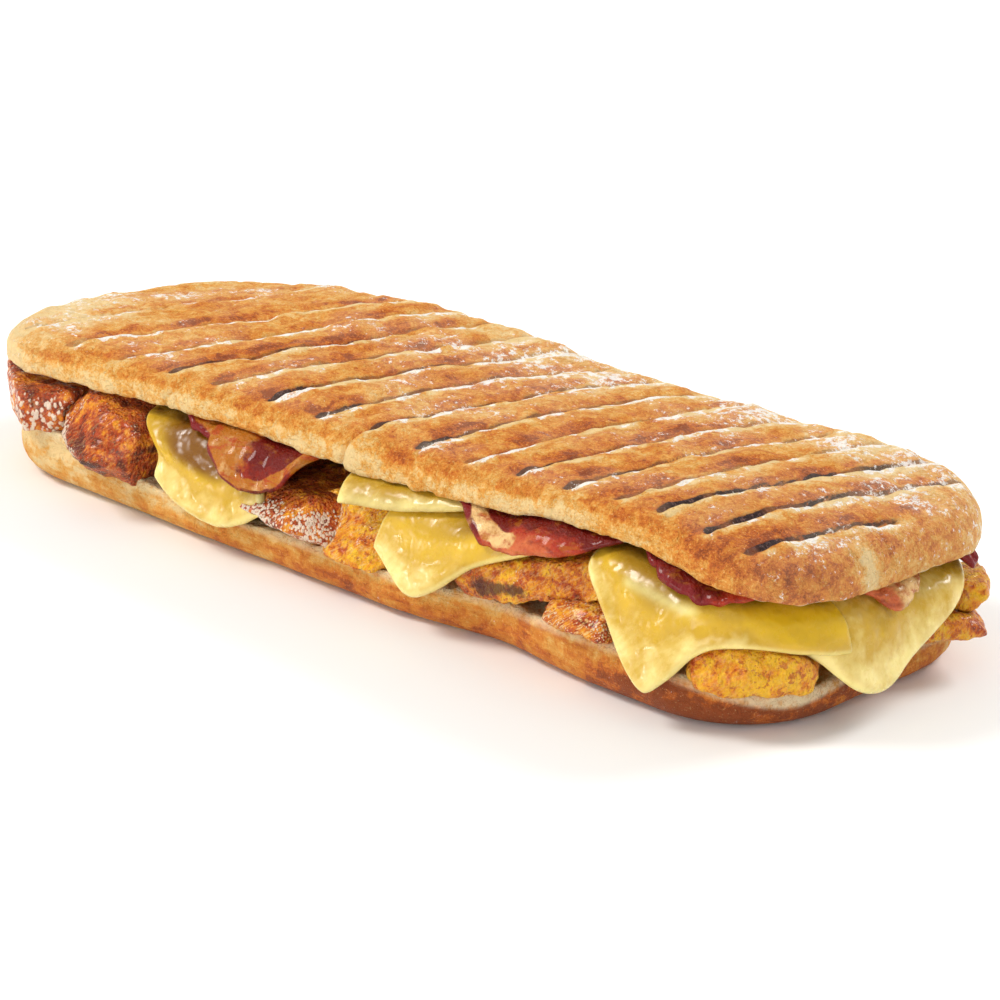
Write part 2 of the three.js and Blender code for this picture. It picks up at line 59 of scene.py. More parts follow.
# Fixed sizes of the roll, in millimetres
CORNER_RADIUS = 27.0
HALF_TOP = 42.5  # half the width of the upper half
SHIFT = -1.4  # of both halves along X
SHOULDER = 8.0  # width of the rounding along the edge of the upper half
SHOULDER_FOOT = 2.6  # height of its foot over the upper rim
FILLING_DROP = 5.6  # from the upper rim down to the slices and rashers under it
TUCKED_IN = 6.0  # how far a slice of cheese reaches in from the filling's side

# Heights along the roll, as pairs of x and height
CROWN = [(-124, 31.6), (-105, 33.6), (-70, 36.4), (-30, 39), (10, 40.6), (60, 43.2), (86, 44.8), (121, 42)]
CROWN_FALL = [(-124, 5.4), (-100, 4), (-78, 0.6), (-46, -0.9), (-18, 0.2), (15, 2.4), (121, 2.6)]
RIM_FRONT = [(-124, 23.2), (-85, 26.2), (-54, 29.4), (16, 30.8), (45, 33), (68, 36), (84, 35.6), (121, 30.4)]
RIM_BACK = [(-124, 22.8), (-60, 25.6), (0, 27.2), (60, 28.8), (121, 28)]
LOWER_RIM = [(-120, 12), (-90, 13.4), (-57, 9.4), (20, 10), (50, 11), (82, 13.2), (104, 9), (120, 8.6)]

# Grill marks: pairs of a mark's number and where it crosses the middle of the crown, pairs of its number and
# its slant, how dark each one burned and how much flour lies on its rim
MARK_AT = [(0, -97.7), (1, -74), (3, -43.8), (6, -3.4), (9, 38.4), (12, 78.5), (15, 114)]
MARK_SLANT = [(0, 0.38), (1, 0.48), (3, 0.42), (6, 0.28), (9, 0.22), (12, 0.18), (15, 0.18)]
MARK_BURN = [0.3, 0.3, 0.35, 0.9, 0.6, 0.85, 0.8, 0.95, 0.9, 0.4, 0.8, 0.9, 0.7, 1, 1, 1]
MARK_FLOUR = [0.8, 0.9, 0.9, 0.7, 0.7, 0.7, 1.0, 0.75, 1.0, 0.8, 0.6, 0.6, 0.5, 0.45, 0.4, 0.4]
MARK_REACH = 38.5  # from the middle line to where a mark ends, in millimetres
MARK_ROOM = 114.5  # from the middle of the roll to where a mark stops at the roll's ends
CHARRED = 0.98  # a mark that burned more than this is wide and stays dark along most of its length

# Folds down the front of the crust: x, depth, width, how far the side towards +X stands out
CREASES = [(-54, 1.0, 1.0, 0.5), (-0.7, 1.3, 0.9, 1.3), (17.9, 0.5, 1.0, 0.3), (60, 0.5, 0.9, 0.2)]


def tone(red, green, blue):
    """A colour as the shaders take it, from the 0 to 255 values that a screen shows."""
    return tuple(((v / 255 + 0.055) / 1.055) ** 2.4 if v > 10 else v / 3295 for v in (red, green, blue))


def length(name, default, description):
    return FloatProperty(name=name, description=description, default=default, min=0, unit="LENGTH")


def colour(name, default, description):
    return FloatVectorProperty(
        name=name, description=description, default=tone(*default), size=3, min=0, max=1, subtype="COLOR"
    )


def amount(name, default, description):
    return FloatProperty(name=name, description=description, default=default, min=0, max=2, subtype="FACTOR")


def angle(name, default, description):
    return FloatProperty(name=name, description=description, default=math.radians(default), subtype="ANGLE")


class PaniniBread(bpy.types.PropertyGroup):
    """Sizes and colours of the two bread halves."""

    top_length: length("Upper length", 0.245, "Length of the upper half")
    top_width: length("Upper width", 0.085, "Width of the upper half")
    bottom_length: length("Lower length", 0.233, "Length of the lower half")
    bottom_width: length("Lower width", 0.087, "Width of the lower half")
    mark_width: length("Mark width", 0.0019, "Width of a grill mark")
    mark_depth: length("Mark depth", 0.0009, "Depth of a grill mark")
    marks: IntProperty(name="Marks", description="Number of grill marks", default=16, min=0, max=16)
    flour: amount("Flour", 1.0, "Flour on the crust")
    pale: colour("Pale crust", (236, 204, 144), "Hardly baked crust")
    gold: colour("Golden crust", (228, 168, 82), "Lightly baked crust")
    orange: colour("Orange crust", (216, 134, 48), "Crust that baked through")
    toasted: colour("Toasted crust", (194, 99, 34), "Crust toasted by the grill")
    brown: colour("Brown crust", (146, 70, 30), "The darkest crust")
    burned: colour("Grill mark", (52, 36, 36), "Burned marks")
    crumb: colour("Crumb", (246, 228, 188), "The bread's inside")


class PaniniFilling(bpy.types.PropertyGroup):
    """Sizes and colours of the filling."""

    cheese_thickness: length("Cheese", 0.0023, "Thickness of a slice")
    bacon_thickness: length("Bacon", 0.0019, "Thickness of a rasher")
    cheese: colour("Cheese", (200, 160, 48), "Melted cheese")
    cheese_deep: colour("Cheese, thick", (220, 178, 26), "Thick or doubled cheese")
    # Also the painted highlight of light through the lower hang
    cheese_pale: colour("Cheese, pale", (246, 226, 148), "Cheese drawn thin")
    # Partly painted highlight along the rims of the slices
    cheese_rim: colour("Cheese, rim", (240, 226, 146), "The rim of a slice")
    # Painted shade: the dark olive where the cheese lies under the crust and bacon
    cheese_olive: colour("Cheese, oiled", (110, 60, 8), "Cheese that took up fat")
    meat: colour("Bacon meat", (168, 48, 22), "Lean bacon")
    # Also the painted shade on the meat under the crust
    meat_dark: colour("Bacon, dark", (108, 22, 14), "Lean bacon that fried dark")
    meat_pink: colour("Bacon, pink", (204, 108, 62), "Lean bacon that fried little")
    rind: colour("Rind", (122, 26, 28), "The edge of a rasher")
    fat: colour("Bacon fat", (230, 190, 128), "Fat bands")
    fat_gold: colour("Bacon fat, golden", (176, 104, 26), "Fat that fried golden")
    chicken_gold: colour("Chicken, golden", (255, 194, 40), "Yellow seasoning")
    chicken: colour("Chicken", (238, 144, 34), "Glazed chicken")
    chicken_red: colour("Chicken, seasoned", (192, 76, 26), "Seasoning that fried on")
    chicken_dark: colour("Chicken, dark", (112, 44, 26), "The darkest glaze")
    chicken_thread: colour("Chicken, fibres", (250, 204, 132), "Fibres of the meat")
    # Partly painted glints on the glaze
    chicken_pale: colour("Chicken, pale", (248, 226, 202), "Grains of the cut faces")
    chicken_char: colour("Chicken, charred", (66, 28, 22), "Charred spots")


class PaniniStage(bpy.types.PropertyGroup):
    """Floor, light and camera."""

    distance: length("Camera distance", 1.2, "From the camera to the object")
    azimuth: angle("Azimuth", 41.0303, "Turn of the camera to the right of the front")
    elevation: angle("Elevation", 21.0585, "Height of the camera over the floor")
    floor: colour("Floor", (250, 250, 249), "The plain floor")


# Repeatable uneven shapes


def soft(value, low=0.0, high=1.0):
    """A smooth step from 0 at low to 1 at high."""
    share = np.clip((value - low) / (high - low), 0, 1)
    return share * share * (3 - 2 * share)


def hill(value, low, high, crest, foot):
    """Rises smoothly from 0 at low to 1 at high and falls from crest back to 0 at foot."""
    return soft(value, low, high) * (1 - soft(value, crest, foot))


def bell(value, width):
    """1 where the value is 0, fading out over the width on both sides."""
    return np.exp(-((value / width) ** 2))


def speck(i, j, k, seed):
    """A number from 0 to 1 that is always the same for a spot and a seed."""
    i, j, k = (np.atleast_1d(a).astype(np.int64).astype(np.uint32) for a in (i, j, k))
    h = i * np.uint32(374761393) ^ j * np.uint32(668265263) ^ k * np.uint32(2147483647)
    h = h ^ np.uint32(seed * 1274126177 & 0xFFFFFFFF)
    h = (h ^ (h >> np.uint32(13))) * np.uint32(1103515245)
    return (h ^ (h >> np.uint32(16))) / 4294967295.0


def bumps(x, y, z, seed):
    """Soft random heights from -1 to 1, one unit apart."""
    spot = [np.atleast_1d(a).astype(float) for a in np.broadcast_arrays(x, y, z)]
    low = [np.floor(a) for a in spot]
    part = [soft(a - b) for a, b in zip(spot, low)]
    total = 0
    for corner in range(8):
        step = [corner & 1, corner >> 1 & 1, corner >> 2]
        share = 1
        for s, p in zip(step, part):
            share = share * (p if s else 1 - p)
        total = total + share * speck(low[0] + step[0], low[1] + step[1], low[2] + step[2], seed)
    return 2 * total - 1


def rugged(at, size, seed, layers=3, stretch=(1, 1, 1)):
    """Bumps of a size in millimetres with finer ones on them."""
    x, y, z = (at[:, n] / (size * stretch[n]) for n in range(3))
    return sum(0.55**n * bumps(x * 2.1**n, y * 2.1**n, z * 2.1**n, seed + n) for n in range(layers))


def height_at(pairs, x):
    """A smooth height through pairs of x and height."""
    px, ph = np.array(pairs, float).T
    last = len(px) - 1
    c = np.clip(x, px[0], px[-1])
    i = np.clip(np.searchsorted(px, c, side="right") - 1, 0, last - 1)
    up, down = (np.clip(np.arange(last + 1) + step, 0, last) for step in (1, -1))
    slope = (ph[up] - ph[down]) / (px[up] - px[down])
    span = px[i + 1] - px[i]
    t = (c - px[i]) / span
    bend = span * t * (1 - t) * ((1 - t) * slope[i] - t * slope[i + 1])
    return ph[i] + (ph[i + 1] - ph[i]) * soft(t) + bend


# The roll's outline


def around(long, wide):
    """Length of the way round a rounded rectangle."""
    return 2 * (long + wide - 4 * CORNER_RADIUS) + 2 * math.pi * CORNER_RADIUS


def outline(run, long, wide):
    """Points and outward directions at runs along a rounded rectangle, from mid front towards +X."""
    cx, cy, arc = long / 2 - CORNER_RADIUS, wide / 2 - CORNER_RADIUS, CORNER_RADIUS * math.pi / 2
    legs = [(cx, 0, -cy), (arc, cx, -cy), (2 * cy, cx, -cy), (arc, cx, cy), (2 * cx, cx, cy)]
    legs += [(arc, -cx, cy), (2 * cy, -cx, cy), (arc, -cx, -cy), (cx, -cx, -cy)]
    left = np.mod(run, around(long, wide))
    start, turn = 0.0, -math.pi / 2
    x, y, nx, ny = (np.zeros(left.shape) for _ in range(4))
    for number, (leg, px, py) in enumerate(legs):
        part = np.clip(left - start, 0, leg)
        here = left >= start
        curved = number % 2
        angle = turn + part / CORNER_RADIUS * curved
        ahead = part * (1 - curved)
        nx, ny = np.where(here, np.cos(angle), nx), np.where(here, np.sin(angle), ny)
        x = np.where(here, px + nx * CORNER_RADIUS - ny * ahead, x)
        y = np.where(here, py + ny * CORNER_RADIUS + nx * ahead, y)
        start += leg
        turn += math.pi / 2 * curved
    return x, y, nx, ny


def inside(run, long, wide, inset):
    """The outline drawn in by an inset; its corners keep their centres until the radius runs out."""
    x, y, nx, ny = outline(run, long, wide)
    cx, cy = long / 2 - CORNER_RADIUS, wide / 2 - CORNER_RADIUS
    within, past = np.maximum(CORNER_RADIUS - inset, 0), np.maximum(inset - CORNER_RADIUS, 0)
    px = np.clip(x - nx * CORNER_RADIUS, -cx, cx) * (1 - past / cx)
    py = np.clip(y - ny * CORNER_RADIUS, -cy, cy) * (1 - np.minimum(past / cy, 1))
    return px + nx * within, py + ny * within, nx, ny


def upper_rim(x, y):
    """Height of the lower edge of the upper half."""
    front = soft(-y, -HALF_TOP, HALF_TOP)
    return height_at(RIM_BACK, x) * (1 - front) + height_at(RIM_FRONT, x) * front


def lower_rim(x, y):
    """Height of the upper edge of the lower half."""
    return height_at(LOWER_RIM, x) + 0.7 * bumps(x / 17, y / 17, 0, 11)


def crown(x, y, inset):
    """Height of the upper half's crust at an inset from its edge."""
    side = upper_rim(x, y) + SHOULDER_FOOT
    fall = height_at(CROWN_FALL, x) * soft(y, -HALF_TOP, HALF_TOP)
    top = height_at(CROWN, x) - 1.2 * (y / HALF_TOP) ** 2 - fall + 0.5 * bumps(x / 24, y / 20, 3, 5)
    rise = np.sqrt(1 - (1 - np.clip(inset / SHOULDER, 0, 1)) ** 2)
    return side + (top - side) * (0.93 * rise + 0.07 * np.clip(inset / (2 * SHOULDER), 0, 1))


# Meshes


def positions(mesh):
    """Points and outward directions of a mesh, in millimetres."""
    at, out = (np.zeros(len(mesh.vertices) * 3, np.float32) for _ in range(2))
    mesh.vertices.foreach_get("co", at)
    mesh.vertex_normals.foreach_get("vector", out)
    return at.reshape(-1, 3).astype(float) / MM, out.reshape(-1, 3).astype(float)


def set_positions(mesh, at):
    mesh.vertices.foreach_set("co", (at * MM).astype(np.float32).ravel())
    mesh.update()


def roughen(mesh, height, size, seed):
    """Raises small lumps all over a mesh."""
    at, out = positions(mesh)
    set_positions(mesh, at + out * (height * rugged(at, size, seed, 2))[:, None])


def field_of(mesh, name):
    values = np.zeros(len(mesh.vertices), np.float32)
    mesh.attributes[name].data.foreach_get("value", values)
    return values


def set_fields(mesh, fields):
    for name, values in fields.items():
        layer = mesh.attributes.get(name) or mesh.attributes.new(name, "FLOAT", "POINT")
        layer.data.foreach_set("value", np.broadcast_to(values, len(mesh.vertices)).astype(np.float32))


@contextmanager
def edited(mesh, source=None):
    """Opens a mesh, or a source in its place, for bmesh operators and writes the mesh at the end."""
    bm = bmesh.new()
    bm.from_mesh(source or mesh)
    yield bm
    bm.to_mesh(mesh)
    bm.free()


def grid_mesh(name, columns, rows, place):
    """A closed skin from a grid: place(u, v) gives points and fields for u and v from 0 to 1."""
    mesh = bpy.data.meshes.new(name)
    with edited(mesh) as bm:
        bmesh.ops.create_grid(bm, x_segments=columns, y_segments=rows, size=1)
    flat = positions(mesh)[0] * MM
    at, fields = place((flat[:, 0] + 1) / 2, (flat[:, 1] + 1) / 2)
    set_positions(mesh, at)
    set_fields(mesh, fields)
    with edited(mesh) as bm:
        bmesh.ops.remove_doubles(bm, verts=bm.verts, dist=0.02 * MM)
        bmesh.ops.recalc_face_normals(bm, faces=bm.faces)
    return mesh


def placed(name, data):
    """A new object at the origin of the scene."""
    made = bpy.data.objects.new(name, data)
    bpy.context.scene.collection.objects.link(made)
    return made


def add_piece(mesh, material, nodes):
    """Shows a finished mesh in place of its CAD nodes."""
    mesh.shade_smooth()
    mesh.materials.append(material)
    piece = placed(mesh.name, mesh)
    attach(piece, "root")
    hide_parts(*nodes)


# Materials


class Value:
    """What a node gives, which can be added and multiplied like a number."""

    def __init__(self, recipe, socket):
        self.math, self.socket = recipe.math, socket

    def __add__(self, other):
        return self.math("ADD", self, other)

    def __sub__(self, other):
        return self.math("SUBTRACT", self, other)

    def __rsub__(self, other):
        return self.math("SUBTRACT", other, self)

    def __mul__(self, other):
        return self.math("MULTIPLY", self, other)

    def __abs__(self):
        return self.math("ABSOLUTE", self)


class Recipe:
    """The nodes of a material. Sizes are in millimetres; the name of a setting stands for its colour."""

    def __init__(self, name, colours=None):
        self.colours = colours
        self.material = bpy.data.materials.new(name)
        self.material.use_nodes = True
        self.tree = self.material.node_tree
        self.place = self.add("ShaderNodeTexCoord", {}, "Object")

    def add(self, kind, inputs, output, **settings):
        """Adds a node with its settings, feeds its inputs and gives one of its outputs."""
        node = self.tree.nodes.new(kind)
        for key, value in settings.items():
            setattr(node, key, value)
        for key, value in inputs.items():
            self.feed(node.inputs[key], value)
        return Value(self, node.outputs[output])

    def feed(self, socket, value):
        if isinstance(value, str):
            value = getattr(self.colours, value)
        if isinstance(value, Value):
            self.tree.links.new(value.socket, socket)
        else:
            socket.default_value = (*value, 1) if socket.type == "RGBA" else value

    def field(self, name):
        return self.add("ShaderNodeAttribute", {}, "Fac", attribute_name=name)

    def stretched(self, size, stretch, turn=(0, 0, 0)):
        inputs = {"Vector": self.place, "Rotation": turn, "Scale": [size * MM * s for s in stretch]}
        return self.add("ShaderNodeMapping", inputs, "Vector", vector_type="TEXTURE")

    def noise(self, size, detail, rough, stretch=(1, 1, 1), turn=(0, 0, 0), twist=0.0):
        inputs = {"Vector": self.stretched(size, stretch, turn), "Scale": 1, "Distortion": twist}
        return self.add("ShaderNodeTexNoise", {**inputs, "Detail": detail, "Roughness": rough}, "Fac")

    def cells(self, size, stretch=(1, 1, 1)):
        inputs = {"Vector": self.stretched(size, stretch), "Scale": 1}
        return self.add("ShaderNodeTexVoronoi", inputs, "Distance")

    def math(self, operation, a, b=0.0):
        return self.add("ShaderNodeMath", {0: a, 1: b}, 0, operation=operation)

    def span(self, value, low, high, first=0.0, last=1.0):
        """Goes softly from first to last while a value goes from low to high."""
        inputs = dict(enumerate((value, low, high, first, last)))
        return self.add("ShaderNodeMapRange", inputs, "Result", interpolation_type="SMOOTHSTEP")

    def ramp(self, value, **stops):
        """Runs through colours, each given with its position."""
        shade = self.add("ShaderNodeValToRGB", {0: value}, "Color")
        points = shade.socket.node.color_ramp.elements
        while len(points) < len(stops):
            points.new(1)
        for point, (name, position) in zip(points, stops.items()):
            point.position = position
            point.color = (*getattr(self.colours, name), 1)
        return shade

    def mix(self, share, a, b):
        """Colour a, and by its share colour b."""
        return self.add("ShaderNodeMix", {0: share, 6: a, 7: b}, 2, data_type="RGBA")

    def finish(self, shade, rough, **sockets):
        """Feeds the shader's colour, roughness and other sockets."""
        sockets.update({"Base Color": shade, "Roughness": rough})
        for name, value in sockets.items():
            self.feed(self.tree.nodes["Principled BSDF"].inputs[name], value)
        return self.material

    def finish_food(self, shade, rough, height, depth, glow, reach, shine, **sockets):
        """Finishes with relief, and a glow under the skin that reaches as far as each colour says."""
        relief = self.add("ShaderNodeBump", {"Height": height, "Distance": depth * MM}, "Normal")
        food = {"Normal": relief, "Subsurface Weight": glow, "Subsurface Radius": reach}
        food.update({"Subsurface Scale": 0.002, "Specular IOR Level": shine, **sockets})
        return self.finish(shade, rough, **food)


# Colours that burning and flour give the crust
LIGHT_BURN, ASH = tone(112, 62, 40), tone(132, 100, 96)
FLOUR_HAZE, FLOUR = tone(248, 228, 196), tone(252, 247, 240)


def bread_material(name, colours, streaks=0.0, speckled=1.0):
    """Baked crust: fields give how far it baked, where it burned, where flour and bare crumb lie."""
    recipe = Recipe(name, colours)
    noise, span, mix, field = recipe.noise, recipe.span, recipe.mix, recipe.field
    mottle, grain = noise(1.3, 6, 0.75), noise(0.55, 3, 0.8)
    drawn = noise(2.2, 5, 0.65, stretch=(4, 4, 0.6))
    spots = span(noise(3.6, 3, 0.55, twist=0.4), 0.44, 0.58)
    bake = field("bake") + (noise(13, 5, 0.6) - 0.5) * 0.65 + (noise(4, 5, 0.65) - 0.5) * 0.65
    bake = bake + (spots - 0.5) * 0.2 + (mottle - 0.5) * speckled + (grain - 0.5) * speckled
    bake = bake + (drawn - 0.5) * streaks
    crust = recipe.ramp(bake, pale=0.0, gold=0.3, orange=0.56, toasted=0.8, brown=1.0)
    crust = mix(span(grain, 0.6, 0.74) * 0.25, crust, "toasted")
    crust = mix(span(grain, 0.42, 0.3) * 0.4, crust, "pale")
    mark, burn = field("mark") + (mottle - 0.5) * 1.1, field("burn")
    crust = mix(span(mark, 0.9, 0.0) * burn * 0.55, crust, "brown")
    charcoal = mix(span(burn, 0.55, 0.9), LIGHT_BURN, "burned")
    ash = mix(span(noise(0.8, 4, 0.7), 0.5, 0.75), charcoal, ASH)
    crust = mix(span(mark, 0.2, -0.1) * burn, crust, ash)
    crumb = mix(span(noise(2.2, 4, 0.6), 0.45, 0.75), "crumb", "gold")
    crust = mix(field("crumb"), crust, crumb)
    floury = field("flour")
    dust = (noise(0.6, 4, 0.85) - 0.5) * 1.8 + (noise(1.9, 3, 0.6) - 0.5) * 2.2
    haze = mix(floury * 0.24, crust, FLOUR_HAZE)
    shade = mix(span(floury * 0.95 + dust, 0.6, 0.85) * 0.9, haze, FLOUR)
    pores, fold = span(recipe.cells(1.2), 0.05, 0.4), abs(noise(2.4, 3, 0.6, twist=0.6) - 0.5)
    height = mottle * 0.9 + grain * 0.6 + pores * 0.3 + span(fold, 0, 0.07) * 0.35
    rough = span(bake, 0.2, 1.0, 0.75, 0.55)
    thin = {"Subsurface Scale": 0.0015}
    return recipe.finish_food(shade, rough, height, 0.6, 0.08, (1.0, 0.5, 0.25), 0.18, **thin)


def cheese_material(colours):
    """Melted cheese: glossy, paler where it is drawn thin, deeper where it is thick; painted shade darkens it
    under the crust and bacon, and painted highlights lighten its rims and its lower hang.
    """
    recipe = Recipe("Melted cheese", colours)
    noise, span, mix, field = recipe.noise, recipe.span, recipe.mix, recipe.field
    fine = noise(2.0, 4, 0.6, stretch=(1, 1, 3.5), turn=(0, 0.7, 0))
    uneven = (noise(7, 3, 0.5) - 0.5) * 0.9 + (fine - 0.5) * 0.45
    shade = recipe.ramp(field("deep") + uneven, cheese_pale=0.0, cheese=0.45, cheese_deep=0.95)
    # Paler along the rims: partly the rims' own paler colour, partly painted highlight, with a painted
    # highlight strip below the bacon
    shade = mix(field("rim") * 0.6, shade, "cheese_rim")
    # Painted shade: darker olive where the cheese comes out from under the crust and bacon
    painted_shade = field("painted_shade") + uneven * 0.3
    shade = mix(span(painted_shade, 0.15, 0.9) * 0.9, shade, "cheese_olive")
    ripple = noise(6, 2, 0.5) + noise(1.4, 2, 0.5) * 0.04
    rough = span(noise(3, 3, 0.6), 0.3, 0.7, 0.16, 0.36)
    return recipe.finish_food(shade, rough, ripple, 1.0, 0.22, (1.0, 0.75, 0.3), 0.4)


def bacon_material(colours):
    """Fried bacon: bands of meat and fat along the rasher, a dark fried edge, and painted shade on the meat
    under the crust.
    """
    recipe = Recipe("Fried bacon", colours)
    noise, span, mix, field = recipe.noise, recipe.span, recipe.mix, recipe.field
    uneven = noise(3.5, 5, 0.65) - 0.5
    # The pink field carries painted shade under the crust, down to the darkest colour
    meat = recipe.ramp(field("pink") + uneven * 1.3, meat_dark=0.0, meat=0.4, meat_pink=0.9)
    veins = noise(1.5, 3, 0.6, stretch=(3.5, 3.5, 1))
    meat = mix(span(veins, 0.56, 0.68) * 0.45, meat, "fat_gold")
    meat = mix(span(veins, 0.44, 0.32) * 0.5, meat, "meat_dark")
    golden = field("gold") + uneven * 2.4
    fat = mix(span(golden, 0.1, 0.9), "fat", "fat_gold")
    fat = mix(span(veins, 0.52, 0.36) * span(golden, 0, 0.6) * 0.7, fat, "meat")
    shade = mix(span(field("fat") + uneven * 0.7, 0.42, 0.6), meat, fat)
    shade = mix(span(field("edge") + uneven * 0.5, 0.4, 0.7), shade, "rind")
    height = noise(1.6, 4, 0.6) + noise(0.6, 3, 0.6) * 0.4
    rough = span(noise(2, 3, 0.6), 0.3, 0.7, 0.16, 0.34)
    glaze = {"Coat Weight": 0.25, "Coat Roughness": 0.1}
    return recipe.finish_food(shade, rough, height, 0.7, 0.06, (1.0, 0.35, 0.2), 0.12, **glaze)


def chicken_material(colours):
    """Glazed chicken: seasoning that fried on, charred spots and pale grains of the cut faces, partly painted
    glints on the glaze.
    """
    recipe = Recipe("Glazed chicken", colours)
    noise, span, mix, field = recipe.noise, recipe.span, recipe.mix, recipe.field
    blotch, fine = noise(3, 5, 0.65) - 0.5, noise(0.7, 5, 0.75)
    strands = noise(0.8, 3, 0.6, stretch=(1, 1, 6), turn=(0, 0.6, 0.4)) - 0.5
    red = field("red") + blotch * 2.2 + (fine - 0.5) * 0.6 + strands * 0.8
    shade = recipe.ramp(red, chicken_gold=0.0, chicken=0.38, chicken_red=0.68, chicken_dark=1.0)
    shade = mix(span(noise(1.7, 3, 0.6), 0.54, 0.62) * 0.75, shade, "chicken_red")
    threads = noise(0.42, 3, 0.55, stretch=(1, 1, 7), turn=(0, 0.9, 0.3))
    shade = mix(span(threads, 0.5, 0.62) * field("fibre"), shade, "chicken_thread")
    coarse = field("coarse")
    cells = recipe.cells(0.68, (1, 1, 1.6)) * (1 - coarse) + recipe.cells(1.05, (1, 1, 1.5)) * coarse
    grains = cells + (fine - 0.5) * 0.5
    # Pale grains: partly the cut faces' own grain, partly painted glints on the glaze
    spots = field("pale") + (grains - 0.42) * -1.7 + blotch * 1.2
    shade = mix(span(spots, 0.46, 0.76) * 0.95, shade, "chicken_pale")
    char = field("char") + (noise(2, 5, 0.7) - 0.5) * 1.8
    shade = mix(span(char, 0.3, 0.9) * 0.85, shade, "chicken_char")
    height = fine + noise(2.2, 4, 0.6) * 0.8 + grains * -0.7 + strands
    rough = span(fine, 0.3, 0.7, 0.24, 0.5)
    glaze = {"Coat Weight": 0.25, "Coat Roughness": 0.14}
    return recipe.finish_food(shade, rough, height, 0.9, 0.1, (1.0, 0.5, 0.25), 0.2, **glaze)


# Bread


def grill_marks(at, count, wide):
    """Each point's nearest groove: its number, the way to it, across it and to its burned edge, the share of
    the way along it and how dark it is there."""
    x, y = at[:, 0], at[:, 1]
    best = [np.full(x.shape, value) for value in (40.0, 0.0, 40.0, 0.0, 0)]
    for n in range(count):
        x0, slant = float(height_at(MARK_AT, n)), float(height_at(MARK_SLANT, n))
        low = max(1.5 - MARK_REACH - 1.5 * float(speck(n, 1, 0, 3)[0]), (-MARK_ROOM - x0) / slant)
        high = min(MARK_REACH - 5 * float(speck(n, 2, 0, 3)[0]), (MARK_ROOM - x0) / slant)
        off = (x - x0 - slant * y - 0.5 * bumps(n * 3, y / 14, 0, 8)) / math.hypot(1, slant)
        share = (y - low) / (high - low)
        base = 0.56 if MARK_BURN[n] > CHARRED else 0.26
        half = wide / 2 * (base + 0.6 * bell(y - low - 2, 2.2) + 0.2 * bumps(n, y / 4, 1, 8))
        half = half * (1 - 0.25 * soft(share, 0.5, 1))
        past = np.maximum(np.maximum(low - y, y - high), 0)
        here = np.hypot(off, past)
        given = (here, off, np.hypot(off + 0.45, past) - half, np.clip(share, 0, 1), n)
        nearer = here < best[0]
        best = [np.where(nearer, new, old) for new, old in zip(given, best)]
    away, across, singed, share, nearest = best
    burn = np.array(MARK_BURN)[nearest]
    late = np.where(burn > CHARRED, 0.45, 0)
    fade = 1 - 0.25 * soft(share, 0.1 + late, 0.24 + late) - 0.3 * soft(share, 0.5 + late, 0.85 + late / 2)
    dark = np.clip(burn * fade * (1 + 0.3 * bumps(nearest * 7, y / 4, 2, 9)), 0, 1)
    return nearest, away, across, singed, share, dark


def top_half_place(bread):
    """The upper half in rows, from the middle of its underside to the middle of its crust."""
    long, wide = bread.top_length / MM, bread.top_width / MM
    # Insets of the lower rows and their heights over the rim; the other rows lie on the crown
    under = [wide / 2, 30, 18, 9, 5, 3, 1.6, 0.7, 0.2, 0]
    rises = np.array([1.2, 1.2, 1.1, 1.1, 1, 1, 0.5, 0, 0.25, 0.9])
    shoulder = SHOULDER * (1 - np.cos(np.linspace(0, math.pi / 2, 18)))
    level = np.linspace(SHOULDER, wide / 2, 40)[1:]
    insets = np.array([*under, *shoulder, *level])

    def place(u, v):
        row = np.rint(v * (len(insets) - 1)).astype(int)
        inset, below = insets[row], row < len(under)
        x, y, nx, ny = inside((u + 0.5) * around(long, wide), long, wide, inset)
        push = 2.6 * bell(2 * np.hypot(x - 110, y + 34), CORNER_RADIUS)
        x, y = x + nx * push + SHIFT, y + ny * push
        z = np.where(below, upper_rim(x, y) + rises[np.minimum(row, len(under) - 1)], crown(x, y, inset))
        return np.stack([x, y, z], 1), {"inset": inset, "below": below * (inset > 0.5)}

    return len(insets) - 1, place


